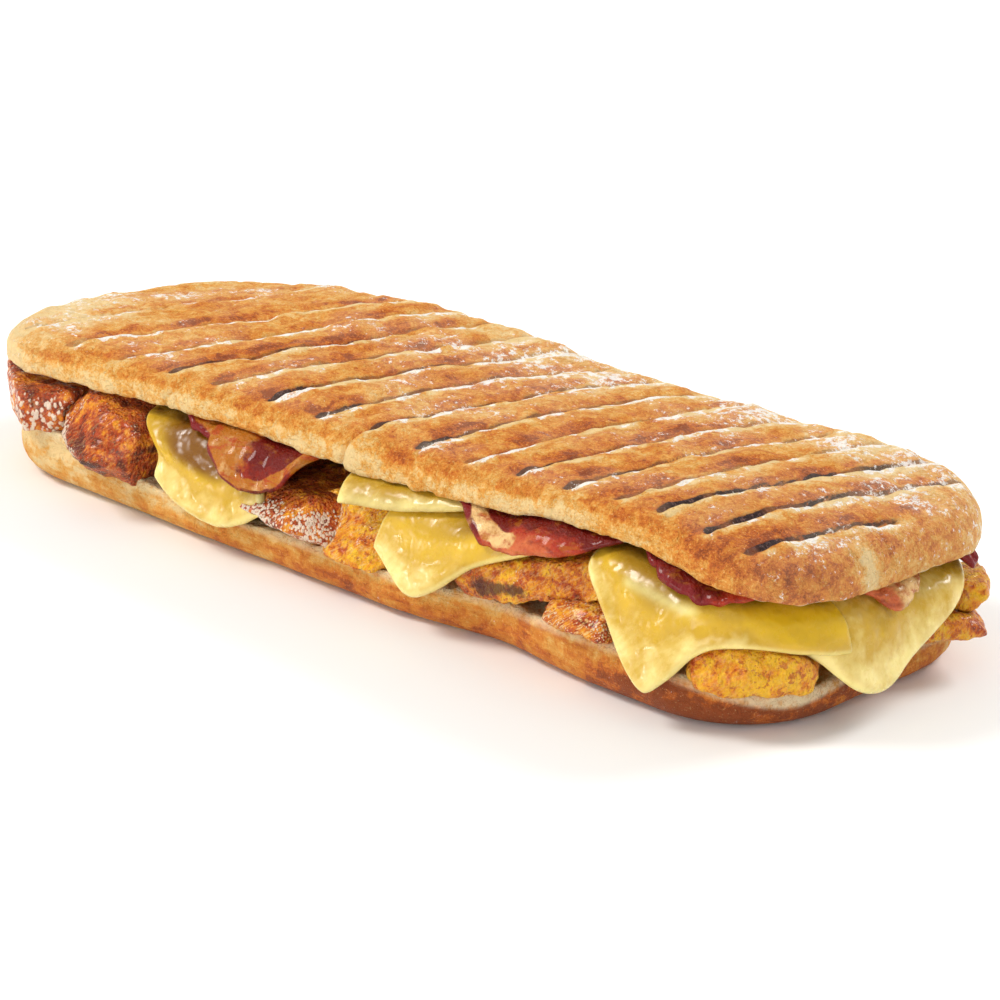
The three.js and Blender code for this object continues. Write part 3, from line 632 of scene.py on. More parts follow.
def dress_top(mesh, bread):
    """Relief and fields of the upper half."""
    at, out = positions(mesh)
    inset, below = field_of(mesh, "inset"), field_of(mesh, "below")
    above = 1 - below
    x, y, z = at.T
    nearest, away, across, singed, share, dark = grill_marks(at, bread.marks, bread.mark_width / MM)
    top = soft(inset, 2.5, 6) * above
    by_mark = top * (away < 8)

    # Grooves with their lips, lumps and wrinkles all over
    groove = -bread.mark_depth / MM * bell(away, 0.62) * (0.5 + 0.45 * dark)
    lip = 0.2 * bell(across - 1.7, 0.9) * (1 + 0.8 * bumps(x / 3, y / 3, 0, 31)) * by_mark
    puffed = -0.5 * (1 - soft(away, 0.5, 4.5))
    lumps = 0.6 * rugged(at, 10, 41) + 0.32 * rugged(at, 3.4, 45)
    wrinkle = bell(bumps(x / 6, y / 11, z / 6, 47), 0.08) * soft(bumps(x / 22, y / 22, 1, 48), -0.1, 0.4)
    move = top * (groove + puffed) + lip + lumps * (0.3 + 0.7 * top) * above
    move = move - 0.45 * wrinkle * above * soft(away, 1.5, 3)

    # Creases down the front, with straw-coloured crust on the side that stands out
    face = soft(-y, 20, 36) * (1 - soft(inset, 3, 7)) * above
    straw = 0
    for at_x, depth, width, stand in CREASES:
        bend = x - at_x - 1.6 * bumps(0, z / 5, at_x, 51) - 0.24 * (inset - 4)
        move = move + face * (-depth * bell(bend, width))
        move = move + face * stand * hill(bend, -0.3, 0.6, 2, 14)
        straw = straw + face * stand * hill(bend, -0.3, 0.6, 2, 9)
    rim = 0.45 * rugged(at * (1, 1, 0), 6, 61) * (1 - soft(inset, 0.5, 3))
    at = at + out * move[:, None]
    at[:, 2] += rim * soft(z, upper_rim(x, y) + 4, upper_rim(x, y) + 1)
    set_positions(mesh, at)

    # How far it baked: darker left of each groove and at the right end, paler right of each groove, along the
    # far side and at the left end. Beside the grooves the dark and pale are painted shade and highlight of
    # the rounded ridges; the wrinkles get painted shade and the right front corner a painted highlight
    front = soft(-y, 26, 42)
    off_rim = soft(inset, 0.05, 0.9)
    uneven = np.clip(0.6 + 0.9 * rugged(at, 8, 75), 0, 1.4)
    # Painted shade and highlight of the rounded ridges: darker left of each groove, paler right of it
    ridge_shading = 0.34 * np.clip(0.7 + 0.9 * rugged(at, 9, 78), 0, 1.3) * bell(across + 2.6, 2.2)
    ridge_shading = ridge_shading - 0.62 * uneven * bell(across - 2, 1.7)
    # Darker in the wrinkles: painted shade
    bake = 0.16 + 0.3 * off_rim + by_mark * ridge_shading + 0.1 * wrinkle * top - 0.2 * straw
    far = soft(y, 6, 39) * (0.2 + 0.8 * soft(x, -95, -25))
    left = soft(-x, 82, 118) * (1 - 0.85 * soft(y, -18, 18))
    right = 0.26 * soft(x, 60, 112) * front + 0.16 * soft(x, 98, 120) * (1 - top * 0.5)
    bake = bake + 0.04 * front * hill(x, -70, -10, 50, 80) + right - 0.3 * far - 0.56 * left
    bake = bake + 0.16 * rugged(at, 16, 71) + 0.24 * soft(x, 96, 114) * (1 - off_rim)
    # Painted highlight: a pale vertical band on the face of the right front corner
    bake = bake - 0.6 * bell(np.hypot(x - 120, y + 13.5), 2.6) * (1 - soft(inset, 3, 6))

    # Flour on the right rims and near ends of the grooves, and loose on top; close to the right end its
    # specks are partly painted glints
    floury = np.array(MARK_FLOUR)[nearest]
    rims = hill(across, 0.5, 1.3, 1.4, 4) * floury * (0.4 + 1.6 * rugged(at, 4.4, 85))
    ends = 0.8 * (floury > 0.9) * bell(share - 0.06, 0.06) * hill(across, -1, 0, 2.6, 4.4)
    flour = by_mark * (1.7 * rims + ends) + top * (0.18 + 0.42 * rugged(at, 13, 81))
    # Specks close to the right end: partly flour, partly painted glints
    flour = flour + 0.24 * far + 0.12 * soft(x, 85, 118) + 0.16 * soft(x, 106, 113) + 0.34 * left
    mark, burn = np.where(top > 0.2, singed, 9), dark * soft(top, 0.1, 0.4)
    flour = np.clip(flour, 0, 1) * bread.flour
    set_fields(mesh, {"bake": bake, "mark": mark, "burn": burn, "flour": flour, "crumb": below})


class PANINI_OT_top_half(bpy.types.Operator):
    """Makes the upper bread half with its grill marks"""

    bl_idname = "panini.top_half"
    bl_label = "Upper half"

    def execute(self, context):
        bread = context.scene.panini_bread
        mesh = grid_mesh("upper_half", 1320, *top_half_place(bread))
        dress_top(mesh, bread)
        add_piece(mesh, bread_material("Baked crust", bread), ["bun_top"])
        return {"FINISHED"}


def bottom_half_place(bread):
    """The lower half in rows, from the middle of its base to the middle of its crumb."""
    long, wide = bread.bottom_length / MM, bread.bottom_width / MM
    # Inset, share of the rim's height and drop under it
    base = [(wide / 2, 0, 0), (20, 0, 0), (9, 0, 0)]
    turn = np.linspace(0, math.pi / 2, 12)
    belly = [(0.2 + 6.8 * (1 - math.sin(a)), 0.5 * (1 - math.cos(a)), 0) for a in turn]
    wall = [(0.2, share, 0) for share in np.linspace(0.5, 0.88, 8)[1:]]
    lip = [(0.45, 0.96, 0), (0.9, 0.99, 0), (1.6, 1, 0), (2.6, 1, 0.2), (4, 1, 0.5), (6, 1, 0.7), (8, 1, 0.9)]
    inner = [(inset, 1, 1.1) for inset in np.linspace(10, wide / 2, 18)]
    rows = np.array([*base, *belly, *wall, *lip, *inner])

    def place(u, v):
        inset, share, drop = rows[np.rint(v * (len(rows) - 1)).astype(int)].T
        x, y, nx, ny = inside((u + 0.5) * around(long, wide), long, wide, inset)
        draw = np.where(y < 0, 3.6 * bell(x - 44, 17), 0)
        x, y = x + SHIFT - nx * draw, y - ny * draw
        z = share * lower_rim(x, y) - drop
        return np.stack([x, y, z], 1), {"inset": inset, "share": share}

    return len(rows) - 1, place


def dress_bottom(mesh, bread):
    """Relief and fields of the lower half: flat where it rests, torn crumb on top."""
    at, out = positions(mesh)
    inset, share = field_of(mesh, "inset"), field_of(mesh, "share")
    x, y, z = at.T
    top = soft(share, 0.97, 1) * soft(inset, 0.5, 1.5)
    wall = soft(z, 0.4, 3) * (1 - top)
    streaks = rugged(at, 5, 91, stretch=(2.6, 2.6, 0.7))
    torn = 0.6 * rugged(at, 3.2, 95)
    move = wall * (0.35 * rugged(at, 11, 93) + 0.2 * streaks) + top * torn
    at = at + out * move[:, None]
    at[:, 2] = np.maximum(at[:, 2], 0)
    set_positions(mesh, at)
    low = 1 - soft(share, 0.3, 0.85)
    corner = bell(np.hypot(x - 100, y + 36), 30)
    bake = 0.36 + 0.28 * low + 0.5 * corner + 0.16 * streaks - 0.4 * soft(-x, 10, 116)
    bare = 0.3 * bell(np.hypot(x - 112, y + 26), 13)
    crumb = np.clip(top + soft(share, 0.8 - bare, 0.95 - bare) * (0.6 + bare), 0, 1)
    set_fields(mesh, {"bake": bake, "mark": 9, "burn": 0, "flour": 0.05, "crumb": crumb})


class PANINI_OT_bottom_half(bpy.types.Operator):
    """Makes the lower bread half"""

    bl_idname = "panini.bottom_half"
    bl_label = "Lower half"

    def execute(self, context):
        bread = context.scene.panini_bread
        mesh = grid_mesh("lower_half", 1100, *bottom_half_place(bread))
        dress_bottom(mesh, bread)
        add_piece(mesh, bread_material("Lower crust", bread, 0.9, 0.45), ["bun_bottom"])
        return {"FINISHED"}


# Slices and rashers that hang over the filling's side

WALL = (236.0, 86.0)  # length and width of that side, in millimetres
DRAPE_ANGLE = math.radians(76)  # how steeply a piece hangs


def back_run(x):
    """The run round the filling's side at an x of the back."""
    return around(*WALL) / 2 - x


def drape(run, along, level):
    """Points on the soft curve over the filling's side, level away from it."""
    past = np.maximum(along, 0)
    bend = DRAPE_ANGLE * soft(np.linspace(0.05, 0.95, 10)[:, None] * past, 0, 10)
    out = -7 + np.minimum(along, 0) + (np.cos(bend) * past).mean(0)
    fall = (np.sin(bend) * past).mean(0)
    angle = DRAPE_ANGLE * soft(past, 0, 10)
    out = out + np.sin(angle) * level
    x, y, _, _ = inside(run, *WALL, -out)
    return np.stack([x, y, upper_rim(x, y) - FILLING_DROP - fall + np.cos(angle) * level], 1)


def pillow(u, v, t_pairs):
    """Shares across and along a closed sheet, and its face: v runs over the upper face and back below."""
    face = np.where(v < 0.5, 1.0, -1.0)
    s = 0.5 * u + 0.25 * (1 - np.cos(math.pi * u))
    shares, places = zip(*t_pairs)
    return s, np.interp(1 - np.abs(2 * v - 1), shares, places), face


def rounded(distance, radius):
    return np.sqrt(np.maximum(1 - (1 - np.clip(distance / radius, 0, 1)) ** 2, 0))


# Each slice: the runs between which it crosses the front, the x between which it crosses the back or the
# points inside where it ends, how far it hangs and leans, how its lower edge swells (tip), how strong a
# painted shade under the crust and bacon is and how far down and across it reaches, and where it lies double
# (thick);
# one slice also has a painted highlight strip below the bacon: from and to across it and how far down
SLICES = {
    "cheese_left": dict(
        front=(-68, -31), slant=10, back=(-68, -26), seed=1, tip=2.6, shade_under=(1.0, 0.56, 0.4),
        lean=[(0, -1.5), (0.3, -0.8), (0.62, 4), (1, 2)], back_hang=[(0, 8), (0.4, 16), (1, 9)],
        hang=[(0, 15.5), (0.2, 19.5), (0.55, 22), (0.8, 19.5), (1, 15)],
    ),
    "cheese_flap": dict(
        front=(15, 76), slant=-5, back=(20, 70), seed=2, tip=0.6, shade_under=(1.0, 0.5, 0.5), thick=(0.2, 0.7),
        hang=[(0, 14), (0.23, 22), (0.5, 12), (0.8, 6), (1, 2)], back_hang=[(0, 6), (0.6, 13), (1, 17)],
    ),
    "cheese_fold": dict(
        front=(0, 35), back=(-9, 5), seed=3, tip=1.2, level=3.4, shade_under=(0.42, 1.3, -1),
        hang=[(0, 7.5), (0.5, 6), (1, 3.5)], back_hang=[(0, 12), (0.5, 7), (1, 9)],
    ),
    "cheese_right": dict(
        front=(70, 132), back=(64, 101), seed=4, tip=1.4, shade_under=(0.55, 0.4, -1), thick=(0.6, 0.75),
        hang=[
            (0, 7), (0.11, 15), (0.22, 23), (0.32, 27), (0.39, 22.5), (0.46, 16), (0.55, 12.3), (0.7, 11),
            (1, 12.5),
        ],
        # A painted highlight strip below the bacon: from and to across the slice, and how far down
        back_hang=[(0, 9), (0.7, 14), (1, 9)], highlight_strip=(0.16, 0.5, 7),
    ),
    "cheese_end": dict(
        front=(117, 180), inner=((103, -20), (100, 26)), seed=5, tip=0.8, tuck=2.9, shade_under=(0.15, 0.3, -1),
        hang=[(0, 9), (0.14, 14), (0.27, 21), (0.4, 22.5), (0.55, 17.5), (0.78, 11.5), (1, 4)], pale=0.14,
    ),
}


def slice_place(
    thickness, front, seed, hang, shade_under, back=None, back_hang=None, inner=None, slant=0, tip=0, level=0.3,
    tuck=0, lean=((0, 0), (1, 0)), thick=(2, 3), highlight_strip=None, pale=0,
):
    """A slice over the front edge, and over the back edge or to its end inside."""
    rows = [(0, -1), (0.28, -0.3), (0.36, 0.22), (1, 1)] if back else [(0, -1), (0.14, 0.22), (1, 1)]

    def place(u, v):
        s, t, face = pillow(u, v, rows)
        ahead = (t > 0)[:, None]
        reach = np.where(t > 0, height_at(hang, s), height_at(back_hang, s) if back else 20)
        share = (np.abs(t) - 0.22) / 0.78
        along = -TUCKED_IN + (reach + TUCKED_IN) * share
        down = np.clip(along / reach, 0, 1)
        edge = np.minimum(s, 1 - s) * abs(front[1] - front[0])
        melt = tip * soft(t, 0.52, 0.7) * np.sin(math.pi * s)
        half = (thickness + melt) / 2 * rounded(edge, 1.5)
        half = half * rounded((reach + TUCKED_IN) * (1 - np.abs(t)), 1.8)
        half = half * (1 + 0.25 * bumps(s * 9, t * 9, seed, 23))
        under = tuck * (1 - soft(s, 0.1, 0.3))
        lift = level - under + thickness / 2 - 0.35 * melt + 0.2 * bumps(s * 4, t * 4, seed, 21) + face * half
        sway = 0.7 * bumps(t * 5, s * 3, seed, 25) * soft(np.abs(t), 0.3, 0.6)
        sway = sway + height_at(lean, down) * (1 - soft(s, 0.4, 0.9)) * (t > 0.2)
        run = front[0] + (front[1] - front[0]) * s + slant * share + sway
        at = drape(run, along, lift)
        if back:
            at = np.where(ahead, at, drape(back_run(back[0] + (back[1] - back[0]) * s) + sway, along, lift))
        else:
            x, y = (inner[0][n] * (1 - s) + inner[1][n] * s for n in range(2))
            end = np.stack([x, y, upper_rim(x, y) - FILLING_DROP + lift], 1)
            start = drape(run - slant * share, np.full(s.shape, -TUCKED_IN), lift)
            at = np.where(ahead, at, start * (1 + t)[:, None] + end * -t[:, None])
        # Paler down the hang: partly cheese drawn thin, partly painted highlight of light through it; deeper
        # where thicker or doubled
        deep = 0.5 - pale + 0.12 * soft(half, 0.9, 2) - 0.34 * soft(down, 0.5, 0.9) + 0.4 * soft(s, *thick)
        # Painted shade under the crust and bacon: its strength, how far down it reaches and from where across
        fat, deepest, across = shade_under
        painted_shade = fat * (1 - soft(down + 0.05 * bumps(s * 5, t, seed, 29), deepest - 0.2, deepest + 0.14))
        painted_shade = painted_shade * soft(along, -4, 1) * (0.5 + 0.5 * soft(edge, 0.5, 3))
        painted_shade = painted_shade * (0.35 + 0.65 * soft(s, across - 0.3, across + 0.1))
        # Lighter along the slice's rim: partly its own paler colour, partly painted highlight; below the
        # bacon a painted highlight strip is added
        rim = (1 - soft(np.minimum(edge * 1.3, reach - along), 0.5, 1.6)) * soft(along, 0, 4)
        if highlight_strip:
            strip = hill(s, highlight_strip[0], highlight_strip[0] + 0.04, highlight_strip[1] - 0.06, highlight_strip[1])
            rim = np.maximum(rim, 1.5 * strip * bell(along - highlight_strip[2], 0.9))
        return at, {"deep": deep, "painted_shade": painted_shade, "rim": rim}

    return place


class PANINI_OT_cheese(bpy.types.Operator):
    """Makes the melted cheese slices"""

    bl_idname = "panini.cheese"
    bl_label = "Cheese"

    def execute(self, context):
        filling = context.scene.panini_filling
        skin = cheese_material(filling)
        for name, spec in SLICES.items():
            columns = int(abs(spec["front"][1] - spec["front"][0]) / 0.5)
            place = slice_place(filling.cheese_thickness / MM, **spec)
            mesh = grid_mesh(name.replace("cheese", "slice"), columns, 220, place)
            roughen(mesh, 0.16, 8, spec["seed"] * 5)
            add_piece(mesh, skin, [name])
        return {"FINISHED"}


# Each rasher: the runs or the x at the back between which it lies, how far it hangs; along it how fat it is,
# how strong a stripe of fat by its edge is, how pink its meat is and how dark its rind, and how much painted
# shade darkens its meat under the crust (shaded)
RASHERS = {
    "bacon_front_1": dict(
        ends=(-55, -9), hang=[(0, 4), (0.3, 6), (0.6, 11.5), (0.85, 10), (1, 4)], waves=2.2, gold=0.85,
        fat=[
            (0, 0.7), (0.36, 0.75), (0.52, 0.66), (0.62, 0.45), (0.7, 0.1), (0.85, 0), (0.93, 0.7), (1, 0.6),
        ],
        stripe=[(0, 0), (0.5, 0.3), (0.6, 1), (1, 0.9)], stripe_at=1.7, frill=0.3,
        pink=[(0, 0.5), (0.5, 0.2), (0.85, 0.1), (1, 0.6)],
        rind=[(0, 1), (0.3, 0.8), (0.55, 1), (0.66, 0.2), (1, 0.4)],
    ),
    "bacon_front_2": dict(
        ends=(31, 76), hang=[(0, 4), (0.3, 8), (0.7, 8), (1, 4)], waves=1.6, gold=0.35, frill=0.1,
        fat=[(0, 0), (0.07, 0.1), (0.1, 0.5), (0.2, 0.4), (0.3, 0.1), (1, 0)],
        stripe=[(0, 0), (0.12, 1), (0.42, 1), (0.5, 0.2), (0.85, 0.2), (1, 0.8)], stripe_at=1.6,
        pink=[(0, 0), (0.3, 0.4), (0.46, 0.8), (0.7, 0.65), (1, 0.4)],
        rind=[(0, 1), (0.1, 0.9), (0.2, 0), (1, 0)], shaded=1,
    ),
    "bacon_front_3": dict(
        ends=(80, 121), hang=[(0, 4), (0.3, 6), (0.7, 5), (1, 3)], waves=2.6, gold=0.3, frill=0.3,
        fat=[(0, 0), (1, 0.1)], stripe=[(0, 0), (0.5, 0.4), (0.62, 0.1), (1, 0.5)], stripe_at=2.4,
        pink=[(0, 0.35), (0.5, 0.3), (0.6, 0.6), (1, 0.7)], rind=[(0, 0.9), (0.5, 0.7), (0.62, 0), (1, 0)],
        rind_width=1.5,
    ),
    "bacon_end": dict(
        ends=(135, 161), inside=14, hang=[(0, 3), (0.3, 6.5), (0.6, 6.8), (1, 5)], waves=1, gold=0.45,
        fat=[(0, 0.3), (0.35, 0.3), (0.5, 0.7), (1, 0.75)], stripe=[(0, 0.9), (0.5, 0.6), (1, 0)],
        pink=[(0, 0.9), (1, 1)], rind=[(0, 0.7), (0.6, 0.5), (1, 0.7)], shaded=0.2, frill=0.1,
    ),
    "bacon_corner": dict(
        ends=(164, 192), inside=10, hang=[(0, 4), (0.4, 6), (1, 3)], waves=1.2, rind_width=1.5,
        fat=[(0, 0), (1, 0)], stripe=[(0, 0), (1, 0)], pink=[(0, 0.6), (1, 0.4)], rind=[(0, 0.9), (1, 0.9)],
    ),
    "bacon_back_1": dict(back=(-12, -60), hang=[(0, 4), (0.5, 8), (1, 5)], waves=2),
    "bacon_back_2": dict(back=(58, 8), hang=[(0, 4), (0.3, 9), (1, 4)], waves=2.4),
    "bacon_back_3": dict(back=(98, 68), hang=[(0, 4), (0.5, 7), (1, 4)], waves=1.4),
}
PLAIN_RASHER = dict(
    fat=[(0, 0.1), (0.4, 0.5), (0.7, 0.1), (1, 0.4)], stripe=[(0, 0.8), (0.5, 0.9), (1, 0.7)], stripe_at=2.4,
    pink=[(0, 0.3), (0.5, 0.6), (1, 0.3)], rind=[(0, 0.9), (0.5, 0.6), (1, 0.9)], rind_width=0.9, gold=0.5,
    shaded=0.5, frill=0.5, inside=12, ends=None,
)


def rasher_place(thickness, seed, look):
    """A rasher that lies under the crust and hangs over the edge."""
    first, last = look["ends"] or (back_run(x) for x in look["back"])
    inside_by, waves = look["inside"], look["waves"]

    def place(u, v):
        s, t, face = pillow(u, v, [(0, 0), (0.25, 0.45), (1, 1)])
        narrow = 0.55 + 0.45 * np.sqrt(np.sin(math.pi * np.clip(s, 0.02, 0.98)))
        past = height_at(look["hang"], s) * narrow
        along = -inside_by + (inside_by + past) * t + 0.8 * bumps(s * 5, t * 2, 0, seed)
        wave = 0.5 * (1 + np.sin(waves * s * 2 * math.pi + seed)) * soft(t, 0.3, 1)
        frill = np.sin(waves * s * 7 * math.pi + 3 * seed + 2 * bumps(s * 6, t, 0, seed))
        frill = look["frill"] * frill * soft(t, 0.55, 1)
        along_edge = np.minimum(s, 1 - s) * abs(last - first)
        gap = np.minimum(along_edge, (inside_by + past) * (1 - t))
        half = thickness / 2 * rounded(gap, 1.2) * rounded((inside_by + past) * t, 1.2)
        half = half * (1 + 0.25 * bumps(s * 11, t * 4, seed, 33))
        level = 3.4 + thickness / 2 + 1.3 * wave + frill + face * half
        scallop = (0.15 + look["frill"]) * bumps(s * 17, t, seed, 37) * soft(t, 0.75, 1)
        at = drape(first + (last - first) * s, along + scallop, level)
        from_edge = past - along
        stripe_at = look["stripe_at"] + 0.7 * bumps(s * 4, t * 2, seed, 35)
        stripe = height_at(look["stripe"], s) * bell(from_edge - stripe_at, 1.1)
        fat = np.maximum(height_at(look["fat"], s), stripe)
        rind = height_at(look["rind"], s) * bell(np.minimum(from_edge, along_edge), look["rind_width"])
        # Painted shade: the meat darkens towards the crust it comes out from under
        pink = height_at(look["pink"], s) - look["shaded"] * (1 - soft(along, 2.5, 7.5))
        return at, {"fat": fat, "edge": rind, "pink": pink, "gold": look["gold"]}

    return place


class PANINI_OT_bacon(bpy.types.Operator):
    """Makes the bacon rashers"""

    bl_idname = "panini.bacon"
    bl_label = "Bacon"

    def execute(self, context):
        filling = context.scene.panini_filling
        skin = bacon_material(filling)
        for number, (name, spec) in enumerate(RASHERS.items()):
            place = rasher_place(filling.bacon_thickness / MM, number + 1, {**PLAIN_RASHER, **spec})
            mesh = grid_mesh(name.replace("bacon", "rasher"), 110, 100, place)
            roughen(mesh, 0.14, 2.4, number + 50)
            add_piece(mesh, skin, [name])
        return {"FINISHED"}


# Each cut: how red, pale and charred it is, which way its pale faces look, how bald of grains its top is, how
# far its front hangs down and out (sag), and charred spots as x, height and size. Its pale grains are partly
# painted glints on the glaze
CUTS = {
    "chicken_front_1": dict(
        red=0.76, pale=-0.1, char=0.18, pale_faces=(-1, -0.4, -0.2), sag=(3.5, 2.4),
        scorched=[(-60, 17.5, 3), (-72, 13, 2)],
    ),
    # Its white grains are painted glints on the glaze
    "chicken_left_corner": dict(red=0.66, pale=0.7, bald=0.6, coarse=1, char=0.0, sag=(1, 0.5)),
    "chicken_left_end": dict(char=0.2),
    "chicken_left_back": dict(char=0.2),
    "chicken_behind_cheese": dict(),
    "chicken_front_2": dict(red=0.6, pale=0.78, bald=1.3, char=0.0, sag=(2, 1.2)),
    "chicken_wedge": dict(
        red=0.22, fibre=0.5, pale=-0.25, char=0.0, pale_faces=(-1, -0.2, 0.1), sag=(1.2, 1)
    ),
    "chicken_under_flap": dict(),
    "chicken_strip": dict(
        red=0.4, pale=-0.05, char=0.16, sag=(0.5, 0.8), fibre=0.35,
        scorched=[(40, 14.6, 3.4), (45, 15.8, 3.4), (50.5, 17.2, 3.2)],
    ),
    "chicken_front_3": dict(red=0.56, pale=0.12, char=0.05, sag=(0.6, 1), fibre=0.85),
    "chicken_back_strip": dict(red=0.4, char=0.25),
    "chicken_right": dict(red=0.4, pale=0.1),
    "chicken_right_corner": dict(red=0.1, pale=-0.25, char=0.0, sag=(0, 0.5)),
    "chicken_right_back": dict(red=0.4, char=0.2),
    "chicken_end": dict(red=0.3, pale=0.1),
    "chicken_end_top": dict(red=0.24, pale=-0.2, char=0.15),
    "chicken_end_low": dict(red=0.26, pale=-0.2, char=0.15),
}
VOXEL = 0.7  # size of the even faces of a cut, in millimetres


def remeshed(name, node):
    """An even, rounded skin over a CAD node's shape."""
    mesh = bpy.data.meshes.new(name)
    with edited(mesh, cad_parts[node].data) as bm:
        bmesh.ops.remove_doubles(bm, verts=bm.verts, dist=0.01 * MM)
    mesh.materials.clear()
    rough = placed(name, mesh)
    even = rough.modifiers.new("Even", "REMESH")
    even.mode = "VOXEL"
    even.voxel_size = VOXEL * MM
    bpy.context.view_layer.update()
    skin = bpy.data.meshes.new_from_object(rough.evaluated_get(bpy.context.evaluated_depsgraph_get()))
    skin.name = name + "_skin"
    bpy.data.objects.remove(rough)
    bpy.data.meshes.remove(mesh)
    with edited(skin) as bm:
        for _ in range(5):
            bmesh.ops.smooth_vert(
                bm, verts=bm.verts, factor=0.5, use_axis_x=True, use_axis_y=True, use_axis_z=True
            )
    return skin


def dress_cut(
    mesh, seed, red=0.5, pale=0.2, char=0.1, pale_faces=None, bald=0, fibre=0.2, coarse=0, sag=(0, 0),
    scorched=(),
):
    """Lumps and fields of a cut of chicken; its lower front sags over the bread."""
    at, out = positions(mesh)
    low, high = at[:, 2].min(), at[:, 2].max()
    over = soft(-at[:, 1], 30, 41) * (1 - soft(at[:, 2], low + 3, high - 1))
    at[:, 1] -= sag[1] * over
    at[:, 2] -= sag[0] * over
    strands = rugged(at, 1.7, seed * 3, 2, (1, 5, 1))
    at = at + out * (0.5 * rugged(at, 4.4, seed * 3 + 40) + 0.25 * strands)[:, None]
    set_positions(mesh, at)
    up = soft(out[:, 2], -0.1, 0.8)
    patch = rugged(at, 8, seed + 70, 2)
    if pale_faces:
        pale = pale + 0.9 * soft(out @ (np.array(pale_faces) / np.linalg.norm(pale_faces)), 0.35, 0.75)
    pale = pale - bald * soft((at[:, 2] - low) / (high - low), 0.68, 0.92)
    scorch = sum(bell(np.hypot(at[:, 0] - x, (at[:, 2] - z) * 1.6), size) for x, z, size in scorched)
    red = red + 0.25 * patch - 0.12 * strands
    pale = pale + 0.25 * rugged(at, 5, seed + 90, 2)
    char = char * (0.35 + 0.9 * up) + 0.15 * patch + scorch
    set_fields(mesh, {"red": red, "pale": pale, "char": char, "fibre": fibre, "coarse": coarse})


class PANINI_OT_chicken(bpy.types.Operator):
    """Makes the cuts of chicken"""

    bl_idname = "panini.chicken"
    bl_label = "Chicken"

    def execute(self, context):
        skin = chicken_material(context.scene.panini_filling)
        for number, (name, look) in enumerate(CUTS.items()):
            mesh = remeshed(name.replace("chicken", "cut"), name)
            dress_cut(mesh, number + 1, **look)
            add_piece(mesh, skin, [name])
        return {"FINISHED"}


# Stage

# Lights: place, target, size, power and colour
LIGHTS = {
    "key": ((-0.75, -0.75, 1.15), (0, 0, 0), 0.5, 13, (1, 0.97, 0.93)),
    "back": ((0.3, 1.1, 0.9), (0, 0, 0.02), 0.6, 12, (1, 0.98, 0.97)),
    "front": ((0.45, -1.25, 0.25), (0, 0, 0.02), 0.7, 4.8, (1, 0.98, 0.95)),
    "glint": ((-0.75, -0.97, 0.14), (0, 0, 0.02), 0.1, 1.2, (1, 1, 1)),
}
DAYLIGHT = 0.62

# The camera: its tilt, the point it looks at, by its way to the right and its height in millimetres, and its
# focal length and the picture's width in pixels
CAMERA_ROLL = math.radians(2.501)
AIM_RIGHT, AIM_HEIGHT = 5.2089, 12.2211
FOCAL_LENGTH, PICTURE_WIDTH = 5368.0836, 1000
SENSOR_WIDTH = 36


def area_light(name, place, target, size, power, shade):
    data = bpy.data.lights.new(name, "AREA")
    data.shape, data.size, data.energy, data.color = "DISK", size, power, shade
    lamp = placed(name, data)
    lamp.location = place
    lamp.rotation_euler = (Vector(target) - Vector(place)).to_track_quat("-Z", "Y").to_euler()


def add_floor(shade):
    mesh = bpy.data.meshes.new("floor")
    with edited(mesh) as bm:
        bmesh.ops.create_grid(bm, x_segments=2, y_segments=2, size=6)
    mesh.materials.append(Recipe("Plain floor").finish(shade, 0.9))
    placed("floor", mesh)


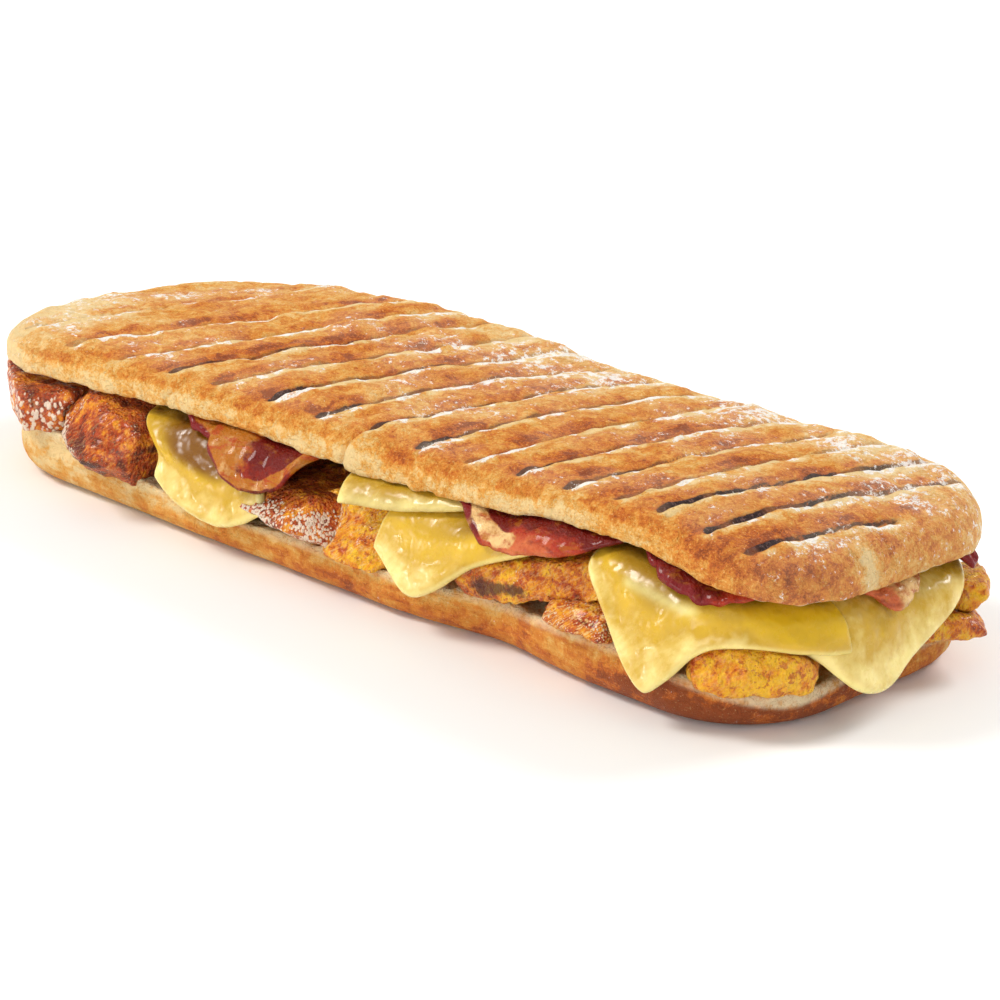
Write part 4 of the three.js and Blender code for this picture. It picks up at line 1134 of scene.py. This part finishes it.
def add_camera(stage):
    a, e = stage.azimuth, stage.elevation
    right = Vector((math.cos(a), math.sin(a), 0))
    back = Vector((math.sin(a) * math.cos(e), -math.cos(a) * math.cos(e), math.sin(e)))
    up = back.cross(right)
    tilted = right * math.cos(CAMERA_ROLL) + up * math.sin(CAMERA_ROLL)
    upright = up * math.cos(CAMERA_ROLL) - right * math.sin(CAMERA_ROLL)
    aim = Vector((AIM_RIGHT * math.cos(a), AIM_RIGHT * math.sin(a), AIM_HEIGHT)) * MM
    data = bpy.data.cameras.new("camera")
    data.sensor_width, data.lens = SENSOR_WIDTH, FOCAL_LENGTH * SENSOR_WIDTH / PICTURE_WIDTH
    data.clip_end = 50
    camera = placed("camera", data)
    turn = Matrix((tilted, upright, back)).transposed().to_4x4()
    camera.matrix_world = Matrix.Translation(aim + back * stage.distance) @ turn
    bpy.context.scene.camera = camera


class PANINI_OT_stage(bpy.types.Operator):
    """Makes the floor, the light and the camera"""

    bl_idname = "panini.stage"
    bl_label = "Stage"

    def execute(self, context):
        stage = context.scene.panini_stage
        add_floor(stage.floor)
        world = bpy.data.worlds.new("Soft daylight")
        world.use_nodes = True
        sky = world.node_tree.nodes["Background"].inputs
        sky["Color"].default_value = (1, 1, 1, 1)
        sky["Strength"].default_value = DAYLIGHT
        context.scene.world = world
        for name, light in LIGHTS.items():
            area_light(name, *light)
        context.scene.view_settings.view_transform = "Standard"
        add_camera(stage)
        return {"FINISHED"}


class PANINI_PT_panel(bpy.types.Panel):
    """Lists the settings and the steps of the panini"""

    bl_label = "Panini"
    bl_idname = "PANINI_PT_panel"
    bl_space_type = "VIEW_3D"
    bl_region_type = "UI"
    bl_category = "Panini"

    def draw(self, context):
        for group in SETTINGS:
            settings = getattr(context.scene, group)
            for name in settings.__annotations__:
                self.layout.prop(settings, name)
        for step in STEPS:
            self.layout.operator(step.bl_idname)


STEPS = (
    PANINI_OT_bottom_half, PANINI_OT_chicken, PANINI_OT_cheese, PANINI_OT_bacon, PANINI_OT_top_half,
    PANINI_OT_stage,
)
SETTINGS = {"panini_bread": PaniniBread, "panini_filling": PaniniFilling, "panini_stage": PaniniStage}


def register():
    for kind in (*SETTINGS.values(), *STEPS, PANINI_PT_panel):
        bpy.utils.register_class(kind)
    for name, kind in SETTINGS.items():
        setattr(bpy.types.Scene, name, PointerProperty(type=kind))


def unregister():
    for name in SETTINGS:
        delattr(bpy.types.Scene, name)
    for kind in reversed((*SETTINGS.values(), *STEPS, PANINI_PT_panel)):
        bpy.utils.unregister_class(kind)


def main():
    register()
    for step in STEPS:
        getattr(bpy.ops.panini, step.bl_idname.split(".")[1])()


if __name__ == "__main__":
    main()
